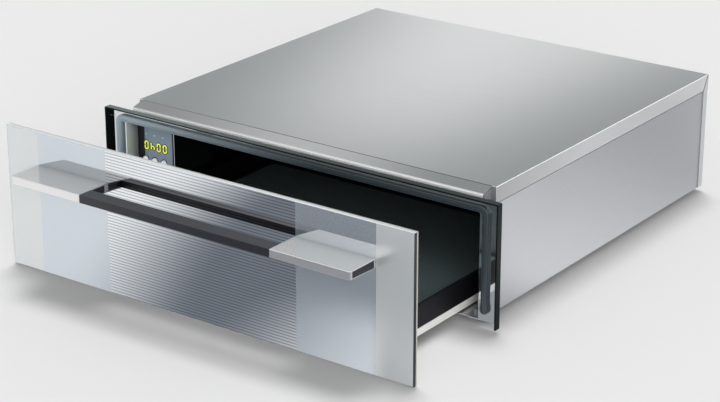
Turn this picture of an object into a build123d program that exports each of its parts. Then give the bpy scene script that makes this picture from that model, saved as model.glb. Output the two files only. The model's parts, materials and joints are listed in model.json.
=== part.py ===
"""Built-in warming drawer, shown with its drawer part of the way out.

Millimetres, +Z up. X runs along the front, positive to the right of a person facing it, and Y
runs from the front to the back. The sections below are drawn with Y = 0 on the plane where the
front frame meets the cabinet and Z = 0 on the cabinet shelf. save() then moves every piece so
that the origin lies in the middle of the whole drawer's footprint, on the shelf.
"""
from build123d import *
import math
import os

os.makedirs("parts", exist_ok=True)

# ------------------------------------------------------------------ driving dimensions
# clearances
seam = 0.2                   # between sheets and parts that are fastened to each other
slip = 0.4                   # between pieces that slide or turn past each other
shaft_play = 0.05            # radial play of the fan shaft in its bearing

# sheet thicknesses
case_sheet = 0.8             # casing, liner and brackets
frame_sheet = 1.0            # polished front frame
tray_sheet = 1.0             # drawer tray
slide_sheet = 0.8            # runner profiles
bend = 1.0                   # inside radius of folded sheet

# glass front
glass_width = 597.0
glass_height = 180.0
glass_lift = 1.0             # lower edge of the glass above the shelf
glass_thick = 5.0
glass_chamfer = 0.5
backing_thick = 1.5          # steel plate glued behind the glass
closed_gap = 1.0             # backing to frame trim with the drawer closed
drawer_out = 161.5           # how far the drawer stands out of its closed place here

# front frame and its trim
trim_width = 590.0
trim_top = 158.5
trim_bottom = 4.5
trim_thick = 2.0
trim_depth = 9.0             # how far the trim stands in front of the frame
trim_corner = 1.5
frame_bottom = 9.0
frame_head = 13.0            # from the trim's top down to where the uprights meet the top member
frame_ledge = 4.0            # from that joint down to the opening
return_depth = 19.8          # flanges that turn back into the opening

# seal round the opening
seal_width = 10.5
seal_height = 8.5
seal_inset = 4.3             # from the opening's edge to the seal's inner edge
seal_corner = 12.0
seal_round = 4.9             # radius of its two front edges
seal_end = 24.0              # height at which its two legs end
seal_bulb = 6.8              # radius of the thick ends

# casing
case_inset = 26.0            # from the trim's side edge in to the casing's side
case_rise = 4.7              # casing's top above the trim's top
case_bottom = 6.5
case_depth = 546.0
cover_flange = 20.7          # depth of the cover's side flanges
cover_flat_from = 28.0       # where the sloping front lip becomes the flat top
lip_start = 9.0
lip_drop = 4.7
lip_hem = 5.0                # how far the lip's front edge folds down
lip_nose = 3.0               # outside radius of that fold
lip_inset = 6.0              # lip's ends, inboard of the casing's sides
notch_rise = 1.5             # side panel's notch under the lip, above the flange's lower edge
wrap_width = 13.0            # strips of the back panel that wrap round the sides
panel_setback = 2.4          # side panels' front edges behind the frame
shelf_flange = 14.0          # flanges at the foot of the side panels
base_lip = 0.9               # upturned front edge of the base
base_screw_front = 60.0
base_screw_rear_inset = 66.0
cover_screw_x = (-230.0, -80.0, 80.0, 230.0)

# feet and fixing holes
foot_radius = 11.0
foot_span_x = 400.0
foot_front_y = 40.0
foot_rear_inset = 41.0       # rear feet, in front of the casing's rear face
shelf_hole_radius = 2.4
shelf_hole_span = 240.0
shelf_hole_y = 60.0

# liner and the room behind it
liner_inset = 14.4           # from a side panel's inner face to the liner
liner_gap = 0.7              # liner roof to the liner sides
rear_room = 88.2             # from the liner's rear to the back panel
slot_width = 3.0
slot_length = 60.0
slot_pitch = 8.0
intake_slots = 9
outlet_slots = 7
outlet_centre = 170.0

# insulation
wool_gap = 0.5
roof_wool_front = 60.0
side_wool_front = 110.0
side_wool_bottom = 60.0

# control module, on the left behind the opening
module_gap = 0.3             # side panel to the module's housing
module_width = 61.4
module_height = 63.8
module_depth = 70.0
module_wall = 2.0
fascia_inset = 1.0           # housing's side to the fascia's edge
fascia_width = 56.4
fascia_thick = 1.5
fascia_corner = 1.0
shield_gap = 1.5
shield_lead = 2.0            # how far the shield stands in front of the fascia

# display, placed from the fascia's left edge and the module's floor
digit_height = 11.4
digit_width = 6.6
digit_pitch = 10.1
digit_bar = 1.5              # stroke of one segment
digit_inset = 10.7
digit_rise = 24.6
digit_proud = 0.3
icon_rise = 45.2
icon_pitch = 14.0
icon_radius = 1.1

# push buttons, placed the same way
button_radius = 3.75
button_pitch = 15.2
button_inset = 27.4          # to the middle button
button_rise = 11.2
button_proud = 3.5
button_travel = 0.8
button_collar = 1.0
button_dome = 2.25           # rounding of the cap's front edge
switch_size = 6.0
switch_depth = 3.1
board_thick = 1.6

# tray
tray_clearance = 14.3        # liner to the tray's side
tray_rear_gap = 36.5         # tray to the liner's rear with the drawer closed
tray_rise = 2.0              # tray's floor above the runners
tray_height = 27.8
tray_hem = 6.0
tray_hem_drop = 4.0
skirt_height = 9.0
skirt_lap = 5.2              # how far a skirt's flange reaches over the runner's tab
mat_thick = 1.5
mat_margin = 8.0

# box behind the glass that carries the tray
shell_inset = 16.2           # side of the opening to the box
shell_drop = 2.2             # top of the opening to the box
shell_rise = 3.7             # box above the base panel
shell_depth = 20.0

# runners, three nested profiles a side
slide_inset = 4.9            # tray's side to the outer face of the fixed profile
slide_front = 12.0           # front end of the fixed profile
slide_end_gap = 4.0          # fixed profile to the liner's rear
slide_height = 9.2
slide_flange = 7.6           # reach of the fixed profile's flanges
buffer_corner = 1.5

# handle
handle_width = 496.0
handle_reach = 46.5
handle_rise = 0.7            # handle's top above the box behind the glass
handle_thick = 10.0
handle_root = 11.5           # thickness against the glass
bar_width = 279.0            # dark bar between the two end plates
bar_depth = 20.0
plate_wall = 1.2
plate_front_wall = 4.0
plate_rear_wall = 3.0
plate_corner = 3.0           # rounding of the plates' outer front corner
end_cap_thick = 3.0
handle_screw_spread = 60.0

# warm-air unit
fan_gap = 7.0                # baffle to the fan wheel
fan_radius = 38.0
fan_depth = 14.0
fan_blades = 16
fan_hub_radius = 9.0
wheel_plate = 1.2
blade_inner = 20.9
blade_thick = 1.0
blade_tip = 0.5              # blade's end to the wheel's rim
blade_pivot = 9.5            # wheel's rim in to the line about which a blade is tilted
blade_tilt = 35.0
shaft_radius = 2.0
shaft_front = 2.0            # wheel's front to the end of the shaft
shaft_rear = 5.0             # shaft's other end to the motor's rear
bearing_wall = 4.0
element_radius = 52.0
element_tube = 3.2
element_opening = 14.0       # half the angle that the ring leaves open at its foot
element_tail = 12.0          # length of its legs behind the bracket
mount_gap = 30.0             # baffle to the fan's bracket
mount_half = 90.0
mount_rise = 5.7             # bracket above the base panel
mount_drop = 3.5             # bracket below the top of the opening
motor_radius = 30.0
motor_length = 34.0
motor_end = 4.0              # thickness of the motor's closed end
lug_reach = 10.0
lug_thick = 2.0
probe_inset = 24.0           # bracket's side to the probe
probe_rise = 42.0            # probe above the fan's axis
probe_radius = 2.5
probe_front = 20.0
probe_tail = 8.0
cutout_inset = 30.0          # bracket's other side to the thermostat
cutout_rise = 44.0
cutout_radius = 8.0
cutout_depth = 7.8
cutout_tab = 6.0
cutout_tab_thick = 3.0

# cable entry and terminals
gland_x = -150.0
gland_z = 75.0
gland_bore = 4.0
gland_body = 7.5
gland_flange = 10.0
gland_inside = 10.0
gland_outside = 6.0
gland_rim = 3.0
gland_chamfer = 1.0
nut_thick = 4.0
terminal_ways = 5
terminal_pitch = 11.5
terminal_pocket = 8.0
terminal_pocket_depth = 8.2
terminal_wall = 3.0
terminal_lid = 2.0
terminal_width = 60.0
terminal_depth = 20.0
terminal_height = 20.0
terminal_shift = 40.0        # block's left end to the gland's middle
terminal_bottom = 30.0

# drawer contact and guides
contact_x = -145.0
contact_length = 30.0
contact_depth = 8.0
contact_height = 6.0
contact_corner = 1.0
magnet_length = 20.0
magnet_thick = 3.0
magnet_height = 5.0
magnet_rise = 1.0            # magnet above the foot of the box it is fixed to
guide_gap = 3.2              # side of the opening to a guide
guide_width = 6.0
guide_front = 4.0
guide_length = 10.0
guide_height = 9.3
guide_chamfer = 1.0

# fasteners
screw_head = 3.2
screw_head_tall = 1.8
screw_shank = 1.6
recess_length = 2.6
recess_width = 0.7
recess_depth = 0.6

# ------------------------------------------------------------------ places that follow
# across
glass_half = glass_width / 2
trim_half = trim_width / 2
frame_half = trim_half - trim_thick
case_half = trim_half - case_inset
side_out = case_half - case_sheet - seam
side_in = side_out - case_sheet
return_out = side_in - seam
opening_half = return_out - case_sheet
liner_half = side_in - liner_inset
tray_half = liner_half - tray_clearance
shell_half = opening_half - shell_inset
slide_out_x = tray_half - slide_inset
housing_left = module_gap - side_in
module_right = housing_left + module_width
fascia_left = housing_left + fascia_inset
fascia_right = fascia_left + fascia_width
digit_left = fascia_left + digit_inset
button_middle_x = fascia_left + button_inset

# upwards
frame_joint = trim_top - frame_head
opening_top = frame_joint - frame_ledge
frame_top = trim_top - trim_thick
case_top = trim_top + case_rise
cover_under = case_top - case_sheet
base_under = case_bottom + case_sheet + seam
base_top = base_under + case_sheet
liner_top = opening_top - liner_gap
module_bottom = liner_top - module_height
digit_bottom = module_bottom + digit_rise
icon_z = module_bottom + icon_rise
button_z = module_bottom + button_rise
slide_bottom = base_top + seam
slide_roof = slide_bottom + slide_height
tray_floor_z = slide_roof + tray_rise
tray_rim_z = tray_floor_z + tray_height
shell_bottom = base_top + shell_rise
shell_top = opening_top - shell_drop
handle_top = shell_top + handle_rise
mount_bottom = base_top + mount_rise
mount_top = opening_top - mount_drop
fan_z = (mount_bottom + mount_top) / 2

# from front to back
backing_rear_y = -(trim_depth + closed_gap + drawer_out)
glass_rear_y = backing_rear_y - backing_thick
glass_front_y = glass_rear_y - glass_thick
handle_front_y = glass_front_y - handle_reach
module_front_y = return_depth + seam
back_rear_y = case_depth - case_sheet - seam
back_y = back_rear_y - case_sheet
liner_rear = back_y - rear_room
slide_length = liner_rear - slide_end_gap - slide_front
tray_rear = liner_rear - tray_rear_gap - drawer_out
fan_front = liner_rear + fan_gap
mount_front = liner_rear + mount_gap
foot_rear_y = case_depth - foot_rear_inset
base_screw_rear = case_depth - base_screw_rear_inset
base_screw_y = (base_screw_front, (base_screw_front + base_screw_rear) / 2, base_screw_rear)
gland_end_y = case_depth + gland_outside

row_mid_y = (handle_front_y + gland_end_y) / 2


# ------------------------------------------------------------------ helpers
def save(name, *solids):
    """Writes one node, moved so that Y = 0 is the middle of the whole drawer's footprint."""
    pieces = [Pos(0, -row_mid_y, 0) * piece for solid in solids for piece in solid.solids()]
    shape = pieces[0] if len(pieces) == 1 else Compound(children=pieces)
    export_step(shape, f"parts/{name}.step")


def block(x0, x1, y0, y1, z0, z1):
    """A box between two opposite corners."""
    middle = Pos((x0 + x1) / 2, (y0 + y1) / 2, (z0 + z1) / 2)
    return middle * Box(abs(x1 - x0), abs(y1 - y0), abs(z1 - z0))


def along_x(face, x0, x1):
    """Draws a (Y, Z) section out from x0 to x1."""
    return extrude(Plane.YZ.offset(x0) * face, x1 - x0)


def along_y(face, y0, y1):
    """Draws an (X, Z) section out from y0 to y1."""
    return extrude(Plane.XZ.offset(-y0) * face, -(y1 - y0))


def rod_y(x, z, y0, y1, radius):
    """A round bar along Y."""
    return Pos(x, (y0 + y1) / 2, z) * Rot(90, 0, 0) * Cylinder(radius, abs(y1 - y0))


def rod_z(x, y, z0, z1, radius):
    """A round bar along Z."""
    return Pos(x, y, (z0 + z1) / 2) * Cylinder(radius, z1 - z0)


def both(solid):
    """A piece and its mirror image on the other side of the middle."""
    return [solid, mirror(solid, Plane.YZ)]


def folded(points, thick, inside=bend, first=None):
    """Section of a bent sheet: the points follow one skin, the thickness lies to their left.

    The first corner may have a radius of its own.
    """
    count = len(points)
    steps = [(points[i + 1][0] - points[i][0], points[i + 1][1] - points[i][1]) for i in range(count - 1)]
    units = [(u / math.hypot(u, v), v / math.hypot(u, v)) for u, v in steps]
    near_radii, far_radii, far = [], [], []
    for i, (u, v) in enumerate(points):
        before = units[max(i - 1, 0)]
        after = units[min(i, count - 2)]
        lean = 1 + before[0] * after[0] + before[1] * after[1]
        shift_u = -(before[1] + after[1]) / lean * thick
        shift_v = (before[0] + after[0]) / lean * thick
        far.append((u + shift_u, v + shift_v))
        if 0 < i < count - 1:
            left_turn = before[0] * after[1] - before[1] * after[0] > 0
            corner = first if i == 1 and first else inside
            near_radii.append(corner + thick if left_turn else corner)
            far_radii.append(corner if left_turn else corner + thick)
    near_line = FilletPolyline(*points, radius=near_radii)
    far_line = FilletPolyline(*far, radius=far_radii)
    ends = [Line(points[-1], far[-1]), Line(far[0], points[0])]
    return make_face(near_line.edges() + far_line.edges() + [end.edge() for end in ends])


def screw(x, y, z, direction, grip):
    """A pan-head screw whose head sits at (x, y, z) and whose shank runs on along direction."""
    head = fillet(Cylinder(screw_head, screw_head_tall).edges().group_by(Axis.Z)[0], screw_head_tall / 3)
    shank = Pos(0, 0, (screw_head_tall + grip) / 2) * Cylinder(screw_shank, grip)
    slot = Box(recess_length, recess_width, 2 * recess_depth)
    cross = Pos(0, 0, -screw_head_tall / 2) * (slot + Rot(0, 0, 90) * slot)
    body = Pos(0, 0, -screw_head_tall / 2) * (head + shank - cross)
    return Plane(origin=(x, y, z), z_dir=direction) * body


def drilled(x, y, z, direction, grip):
    """The clearance hole of a screw, to be cut from what it passes through."""
    hole = Pos(0, 0, grip / 2) * Cylinder(screw_shank + seam, grip + 2 * case_sheet)
    return Plane(origin=(x, y, z), z_dir=direction) * hole


# ------------------------------------------------------------------ glass front
glass = block(-glass_half, glass_half, glass_front_y, glass_rear_y, glass_lift, glass_lift + glass_height)
backing = block(-glass_half, glass_half, glass_rear_y, backing_rear_y, glass_lift, glass_lift + glass_height)
handle_half = handle_width / 2
bar_half = bar_width / 2
plate_middle = (handle_half + bar_half) / 2
screw_z = handle_top - handle_root / 2
handle_screw_x = []
for side in (-1, 1):
    for shift in (-1, 1):
        handle_screw_x.append(side * (plate_middle + shift * handle_screw_spread / 2))
for x in handle_screw_x:
    passage = rod_y(x, screw_z, glass_front_y - seam, backing_rear_y + seam, screw_shank + 2 * slip)
    glass -= passage
    backing -= passage
front_edges = glass.faces().sort_by(Axis.Y)[0].outer_wire().edges()
save("glass_front", chamfer(front_edges, glass_chamfer))
save("glass_backing", backing)

# ------------------------------------------------------------------ handle
plate_section = make_face(Polyline(
    (glass_front_y - seam, handle_top - handle_root), (glass_front_y - seam, handle_top),
    (handle_front_y, handle_top), (handle_front_y, handle_top - handle_thick), close=True))
core_front = handle_front_y + plate_front_wall
core_rear = glass_front_y - seam - plate_rear_wall
core_section = make_face(Polyline(
    (core_rear, handle_top - handle_root + plate_wall), (core_rear, handle_top - plate_wall),
    (core_front, handle_top - plate_wall), (core_front, handle_top - handle_thick + plate_wall), close=True))
cap_section = offset(core_section, amount=-seam / 2)


def end_plate():
    """The right-hand aluminium end plate, hollow from end to end, with its two holes for screws."""
    plate = along_x(plate_section, bar_half, handle_half)
    corner = plate.edges().filter_by(Axis.Z).group_by(Axis.Y)[0].sort_by(Axis.X)[-1]
    plate = fillet(corner, plate_corner)
    plate = fillet(plate.edges().filter_by(Axis.X).group_by(Axis.Y)[0], plate_wall / 2)
    plate -= along_x(core_section, bar_half - seam, handle_half + seam)
    for x in handle_screw_x:
        plate -= rod_y(x, screw_z, core_rear - seam, glass_front_y, screw_shank + seam / 2)
    return plate


right_plate = end_plate()
save("handle_plate_right", right_plate)
save("handle_plate_left", mirror(right_plate, Plane.YZ))
outer_cap = along_x(cap_section, handle_half - end_cap_thick, handle_half)
inner_cap = along_x(cap_section, bar_half + seam, bar_half + end_cap_thick)
save("handle_end_caps", *both(outer_cap), *both(inner_cap))

bar = block(-bar_half + seam, bar_half - seam, handle_front_y, handle_front_y + bar_depth,
            handle_top - handle_thick, handle_top)
bar = fillet(bar.edges().filter_by(Axis.X), plate_wall / 2)
save("handle_bar", bar)

handle_screws = []
for x in handle_screw_x:
    handle_screws.append(screw(x, backing_rear_y, screw_z, (0, -1, 0), backing_rear_y - core_rear))
save("handle_screws", *handle_screws)

# ------------------------------------------------------------------ box behind the glass
shell_front_y = backing_rear_y + seam
shell_rear_y = shell_front_y + shell_depth
shell = block(-shell_half, shell_half, shell_front_y, shell_rear_y, shell_bottom, shell_top)
shell = fillet(shell.edges().filter_by(Axis.Y), 2 * bend)
wool_space = block(-shell_half + case_sheet, shell_half - case_sheet, shell_front_y - seam,
                   shell_rear_y - case_sheet, shell_bottom + case_sheet, shell_top - case_sheet)
shell -= wool_space
save("front_shell", shell)
save("front_insulation", block(
    -shell_half + case_sheet + wool_gap, shell_half - case_sheet - wool_gap, shell_front_y + wool_gap,
    shell_rear_y - case_sheet - wool_gap, shell_bottom + case_sheet + wool_gap, screw_z - 4 * screw_head))

# ------------------------------------------------------------------ tray
tray_front_y = shell_rear_y + seam
wall_section = folded([
    (tray_half, tray_floor_z), (tray_half, tray_rim_z), (tray_half - tray_hem, tray_rim_z),
    (tray_half - tray_hem, tray_rim_z - tray_hem_drop)], tray_sheet)
right_wall = along_y(wall_section, tray_front_y, tray_rear)
save("tray_wall_right", right_wall)
save("tray_wall_left", mirror(right_wall, Plane.YZ))
floor_half = tray_half - tray_sheet - seam
floor_top = tray_floor_z + tray_sheet
save("tray_floor", block(-floor_half, floor_half, tray_front_y, tray_rear, tray_floor_z, floor_top))
rear_half = tray_half - tray_hem - tray_sheet
rear_section = folded([
    (tray_rear, floor_top + seam), (tray_rear, tray_rim_z), (tray_rear - tray_hem, tray_rim_z),
    (tray_rear - tray_hem, tray_rim_z - tray_hem_drop)], tray_sheet)
save("tray_wall_rear", along_x(rear_section, -rear_half, rear_half))
mat_half = rear_half - mat_margin
mat = block(-mat_half, mat_half, tray_front_y + mat_margin, tray_rear - tray_hem - mat_margin,
            floor_top + seam, floor_top + seam + mat_thick)
save("anti_slip_mat", fillet(mat.edges().filter_by(Axis.Z), mat_margin))

# skirts under the tray's two long edges, which hang outside the runners
skirt_top = tray_floor_z - seam
step = slide_sheet + slip
inner_inset = 2 * step
inner_web = slide_out_x - inner_inset - slide_flange - slip
skirt_section = folded([
    (tray_half + seam, skirt_top - skirt_height), (tray_half + seam, skirt_top),
    (inner_web - skirt_lap, skirt_top)], tray_sheet)
save("tray_skirts", *both(along_y(skirt_section, tray_front_y, tray_rear)))

# ------------------------------------------------------------------ runners
slide_rest_y = slide_front - drawer_out
half_rest_y = slide_front - drawer_out / 2


def channel(reach, inset):
    """Section of one C profile, open towards the middle, set in from the fixed one all round."""
    web = slide_out_x - inset
    low = slide_bottom + inset
    high = slide_roof - inset
    return folded([(web - reach, low), (web, low), (web, high), (web - reach, high)], slide_sheet, slip / 2)


fixed_slide = along_y(channel(slide_flange, 0), slide_front, slide_front + slide_length)
save("runner_fixed_profiles", *both(fixed_slide))
middle_slide = along_y(channel(slide_flange, step), half_rest_y, half_rest_y + slide_length)
save("runner_middle_right", middle_slide)
save("runner_middle_left", mirror(middle_slide, Plane.YZ))

inner_low = slide_bottom + inner_inset
inner_high = slide_roof - inner_inset
tab_under = skirt_top - tray_sheet - seam - slide_sheet
inner_slide = block(inner_web - slide_sheet, inner_web, 0, slide_length, inner_low, tab_under + slide_sheet)
inner_slide += block(inner_web, slide_out_x - inner_inset, 0, slide_length, inner_low, inner_high)
inner_slide += block(inner_web - slide_flange, inner_web, 0, slide_length, tab_under, tab_under + slide_sheet)
save("runner_inner_profiles", *both(Pos(0, slide_rest_y, 0) * inner_slide))

buffer_front = slide_front + slide_length + slip
buffer = block(inner_web - slide_flange, slide_out_x, buffer_front, liner_rear - seam,
               slide_bottom, inner_high)
save("runner_end_buffers", *both(fillet(buffer.edges().filter_by(Axis.Z), buffer_corner)))

# ------------------------------------------------------------------ front frame, trim and seal
upright = block(opening_half, frame_half - seam, -frame_sheet, 0, frame_bottom, frame_joint - seam)
upright += block(opening_half, return_out, -frame_sheet, return_depth, frame_bottom, opening_top - seam)
upright = fillet(upright.edges().filter_by(Axis.Z).group_by(Axis.Y)[0].sort_by(Axis.X)[0], case_sheet / 2)
save("frame_right", upright)
save("frame_left", mirror(upright, Plane.YZ))
top_member = block(-frame_half + seam, frame_half - seam, -frame_sheet, 0, frame_joint, frame_top - seam)
top_member += block(-opening_half + seam, opening_half - seam, -frame_sheet, 0, opening_top, frame_joint)
top_member += block(-opening_half + seam, opening_half - seam, -frame_sheet, return_depth,
                    opening_top, opening_top + case_sheet)
save("frame_top_member", top_member)


def arch(half, top, foot, corner):
    """Outline of an upturned U with round outer corners, as a filled (X, Z) face."""
    outline = FilletPolyline((-half, foot), (-half, top), (half, top), (half, foot), radius=corner)
    return make_face(outline.edges() + [Line((half, foot), (-half, foot)).edge()])


trim_face = arch(trim_half, trim_top, trim_bottom, trim_corner)
trim_face -= arch(frame_half, frame_top, trim_bottom - seam, trim_corner / 3)
trim = along_y(trim_face, -trim_depth, -seam)
save("frame_trim", fillet(trim.edges().group_by(Axis.Y)[0], trim_thick / 4))

seal_half = opening_half + seal_inset + seal_width
seal_top = opening_top + seal_width - seam
seal_face = arch(seal_half, seal_top, seal_end, seal_corner)
seal_face -= arch(seal_half - seal_width, seal_top - seal_width, seal_end - seam, seal_corner / 8)
seal_back = -frame_sheet - seam / 2
seal = along_y(seal_face, seal_back - seal_height, seal_back)
seal = fillet(seal.edges().group_by(Axis.Y)[0], seal_round)
for side in (-1, 1):
    bulb_x = side * (seal_half - seal_width / 2)
    bulb = rod_y(bulb_x, seal_end, seal_back - seal_height, seal_back, seal_bulb)
    seal += fillet(bulb.edges().group_by(Axis.Y)[0], seal_round)
save("door_seal", seal)

# ------------------------------------------------------------------ casing
casing_screws = []
lip_foot = case_top - lip_drop - lip_hem
flange_foot = case_top - cover_flange
flange_front = cover_flat_from + case_sheet
rear_flange_y = case_depth - case_sheet - bend
strip_front = case_depth - wrap_width
strip_top = flange_foot - seam
mitre_top = cover_under - bend
notch_z = flange_foot + notch_rise
notch_rear = flange_front + case_sheet
cover_skin = folded([
    (lip_start, lip_foot), (lip_start, case_top - lip_drop), (cover_flat_from, case_top),
    (case_depth, case_top), (case_depth, flange_foot)], -case_sheet, first=lip_nose)
cover = along_x(cover_skin, -case_half, case_half)
for side in (-1, 1):
    cover -= block(side * (case_half - lip_inset), side * (case_half + seam), lip_start - seam, flange_front,
                   lip_foot - seam, case_top + seam)
cover -= block(-case_half - seam, case_half + seam, flange_front, rear_flange_y,
               cover_under - seam, case_top + seam)

# the side flanges end in a mitre, against the strips of the back panel
cover_sides = along_y(folded([
    (-case_half, flange_foot), (-case_half, case_top), (case_half, case_top),
    (case_half, flange_foot)], -case_sheet), flange_front, rear_flange_y)
cover_sides -= along_x(make_face(Polyline(
    (strip_front - slip, flange_foot - seam), (strip_front - slip, flange_foot),
    (rear_flange_y - slip, mitre_top), (rear_flange_y + seam, mitre_top),
    (rear_flange_y + seam, flange_foot - seam), close=True)), -case_half - seam, case_half + seam)
cover += cover_sides
cover_screw_z = case_top - cover_flange / 2
for x in cover_screw_x:
    cover -= drilled(x, case_depth, cover_screw_z, (0, -1, 0), case_sheet)
    casing_screws.append(screw(x, case_depth, cover_screw_z, (0, -1, 0), 4 * case_sheet))
save("top_cover", cover)

# a side panel is notched under the lip and folds inwards at its foot
panel_outline = make_face(Polyline(
    (panel_setback, case_bottom), (panel_setback, notch_z), (notch_rear, notch_z),
    (notch_rear, cover_under - 2 * seam), (back_y - seam, cover_under - 2 * seam),
    (back_y - seam, case_bottom), close=True))
side_panel = along_x(panel_outline, side_in, side_out)
side_panel += block(side_in - shelf_flange, side_out, panel_setback, back_y - seam,
                    case_bottom, case_bottom + case_sheet)
side_panel = fillet(side_panel.edges().filter_by(Axis.Y).group_by(Axis.Z)[0].sort_by(Axis.X)[-1], case_sheet)
base_screw_x = side_in - shelf_flange / 2
for y in base_screw_y:
    side_panel -= drilled(base_screw_x, y, case_bottom - case_sheet, (0, 0, 1), case_sheet)
    casing_screws += both(screw(base_screw_x, y, case_bottom, (0, 0, 1), 4 * case_sheet))
save("side_panel_right", side_panel)
save("side_panel_left", mirror(side_panel, Plane.YZ))

# gussets close the ends of the lip, and their feet close the notches of the side panels
gusset_front = lip_start + lip_nose
gusset_rear = notch_rear - seam
gusset_foot = notch_z + seam
lip_slope = lip_drop / (cover_flat_from - lip_start)
gusset_front_top = cover_under - 2 * seam - lip_slope * (cover_flat_from - gusset_front)
gusset_out = case_half - lip_inset - seam
gusset = along_x(make_face(Polyline(
    (gusset_front, gusset_foot), (gusset_front, gusset_front_top),
    (cover_flat_from, cover_under - 2 * seam), (gusset_rear, cover_under - 2 * seam),
    (gusset_rear, gusset_foot), close=True)), gusset_out - case_sheet, gusset_out)
gusset += block(gusset_out - case_sheet, side_out, gusset_front, gusset_rear,
                gusset_foot, gusset_foot + case_sheet)
save("corner_gussets", *both(gusset))

base_half = opening_half - seam
base = folded([
    (seam, base_top + base_lip), (seam, base_under), (back_y - seam, base_under)], case_sheet, seam)
base = along_x(base, -base_half, base_half)
for side in (-1, 1):
    hole_x = side * shelf_hole_span / 2
    base -= rod_z(hole_x, shelf_hole_y, base_under - seam, base_top + seam, shelf_hole_radius)
    for y in base_screw_y:
        base -= rod_z(side * base_screw_x, y, base_under - seam, base_top + seam, screw_shank + seam)
save("base_panel", base)

feet = []
for side in (-1, 1):
    for y in (foot_front_y, foot_rear_y):
        foot = rod_z(side * foot_span_x / 2, y, 0, base_under, foot_radius)
        feet.append(chamfer(foot.edges().group_by(Axis.Z)[0], foot_radius / 10))
save("feet", *feet)

back = block(-side_out, side_out, back_y, back_rear_y, base_under, cover_under - seam)
strip = make_face(Polyline(
    (strip_front, base_under), (strip_front, strip_top), (rear_flange_y, mitre_top),
    (back_rear_y, mitre_top), (back_rear_y, base_under), close=True))
for side in (-1, 1):
    back += along_x(strip, side * (case_half - case_sheet), side * case_half)
    back += block(side * (side_out - seam), side * case_half, back_y, back_rear_y, base_under, strip_top)
back -= rod_y(gland_x, gland_z, back_y - seam, case_depth, gland_body + seam)
for i in range(-intake_slots, intake_slots + 1):
    x = i * slot_pitch
    back -= block(x - slot_width / 2, x + slot_width / 2, back_y - seam, case_depth,
                  fan_z - slot_length / 2, fan_z + slot_length / 2)
for x in cover_screw_x:
    back -= rod_y(x, cover_screw_z, back_y - seam, case_depth, screw_shank + seam)
save("back_panel", back)

# ------------------------------------------------------------------ liner and insulation
roof_front = return_depth + seam
save("liner_roof", block(
    -liner_half, liner_half, roof_front, liner_rear, opening_top, opening_top + case_sheet))
liner_foot = base_top + seam
liner_right = folded([
    (opening_half - seam, roof_front), (liner_half, roof_front), (liner_half, liner_rear - seam)], case_sheet)
liner_right = extrude(Plane.XY.offset(liner_foot) * liner_right, liner_top - liner_foot)
save("liner_right", liner_right)
liner_left = mirror(liner_right, Plane.YZ)
module_rear_y = module_front_y + fascia_thick + module_depth
liner_left -= block(-case_half, module_right, 0, module_rear_y + 4 * slip,
                    module_bottom - 4 * slip, liner_top + seam)
save("liner_left", liner_left)

baffle = block(-liner_half, liner_half, liner_rear, liner_rear + case_sheet, base_top + seam, opening_top)
baffle_slots = [(i * slot_pitch, slot_length) for i in range(-intake_slots // 2 + 1, intake_slots // 2 + 1)]
for side in (-1, 1):
    for i in range(outlet_slots):
        shift = (i - (outlet_slots - 1) / 2) * slot_pitch
        baffle_slots.append((side * outlet_centre + shift, slot_length))
for x, length in baffle_slots:
    baffle -= block(x - slot_width / 2, x + slot_width / 2, liner_rear - seam, liner_rear + case_sheet + seam,
                    fan_z - length / 2, fan_z + length / 2)
save("air_baffle", baffle)

wool_roof = block(-liner_half, liner_half, roof_wool_front, liner_rear,
                  opening_top + case_sheet + wool_gap, cover_under - wool_gap)
wool_side = block(liner_half + wool_gap, side_in - wool_gap, side_wool_front, liner_rear,
                  side_wool_bottom, opening_top)
save("casing_insulation", wool_roof, *both(wool_side))

# ------------------------------------------------------------------ control module
fascia_front = module_front_y
housing_front = fascia_front + fascia_thick + seam
housing_top = liner_top
housing_back = housing_front + module_depth
housing = block(housing_left, module_right, housing_front, housing_back, module_bottom, housing_top)
housing -= block(housing_left + module_wall, module_right - module_wall, housing_front + module_wall,
                 housing_back + seam, module_bottom + module_wall, housing_top - module_wall)
fascia = block(fascia_left, fascia_right, fascia_front, fascia_front + fascia_thick,
               module_bottom + module_wall, housing_top - module_wall / 2)
button_x = [button_middle_x + i * button_pitch for i in (-1, 0, 1)]
button_hole = button_radius + slip
for x in button_x:
    bore = rod_y(x, button_z, fascia_front - seam, housing_front + module_wall + seam, button_hole)
    fascia -= bore
    housing -= bore
collar_y = housing_front + module_wall + seam
stem_end_y = collar_y + button_collar + button_travel + seam
switch_y = stem_end_y + button_travel + seam / 2
board_y = switch_y + switch_depth
boss_points = [(housing_left + 3 * module_wall, housing_top - 3 * module_wall),
               (module_right - 3 * module_wall, housing_top - 3 * module_wall),
               (housing_left + 3 * module_wall, module_bottom + 3 * module_wall),
               (module_right - 3 * module_wall, module_bottom + 3 * module_wall)]
for x, z in boss_points:
    housing += rod_y(x, z, housing_front + module_wall / 2, board_y, screw_head)
    housing -= rod_y(x, z, housing_front + module_wall, board_y + seam, screw_shank + seam / 2)
save("control_housing", housing)
save("control_fascia", fillet(fascia.edges().filter_by(Axis.Y).filter_by(
    lambda edge: edge.geom_type == GeomType.LINE), fascia_corner))

board_inset = module_wall + slip
board = block(housing_left + board_inset, module_right - board_inset, board_y, board_y + board_thick,
              module_bottom + board_inset, housing_top - board_inset)
for x, z in boss_points:
    board -= rod_y(x, z, board_y - seam, board_y + board_thick + seam, screw_shank + seam)
    casing_screws.append(screw(x, board_y + board_thick, z, (0, -1, 0), board_thick + 2 * screw_head_tall))
save("control_board", board)
tacts = []
for x in button_x:
    tacts.append(block(x - switch_size / 2, x + switch_size / 2, switch_y, board_y,
                       button_z - switch_size / 2, button_z + switch_size / 2))
save("tact_switches", *tacts)

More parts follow.
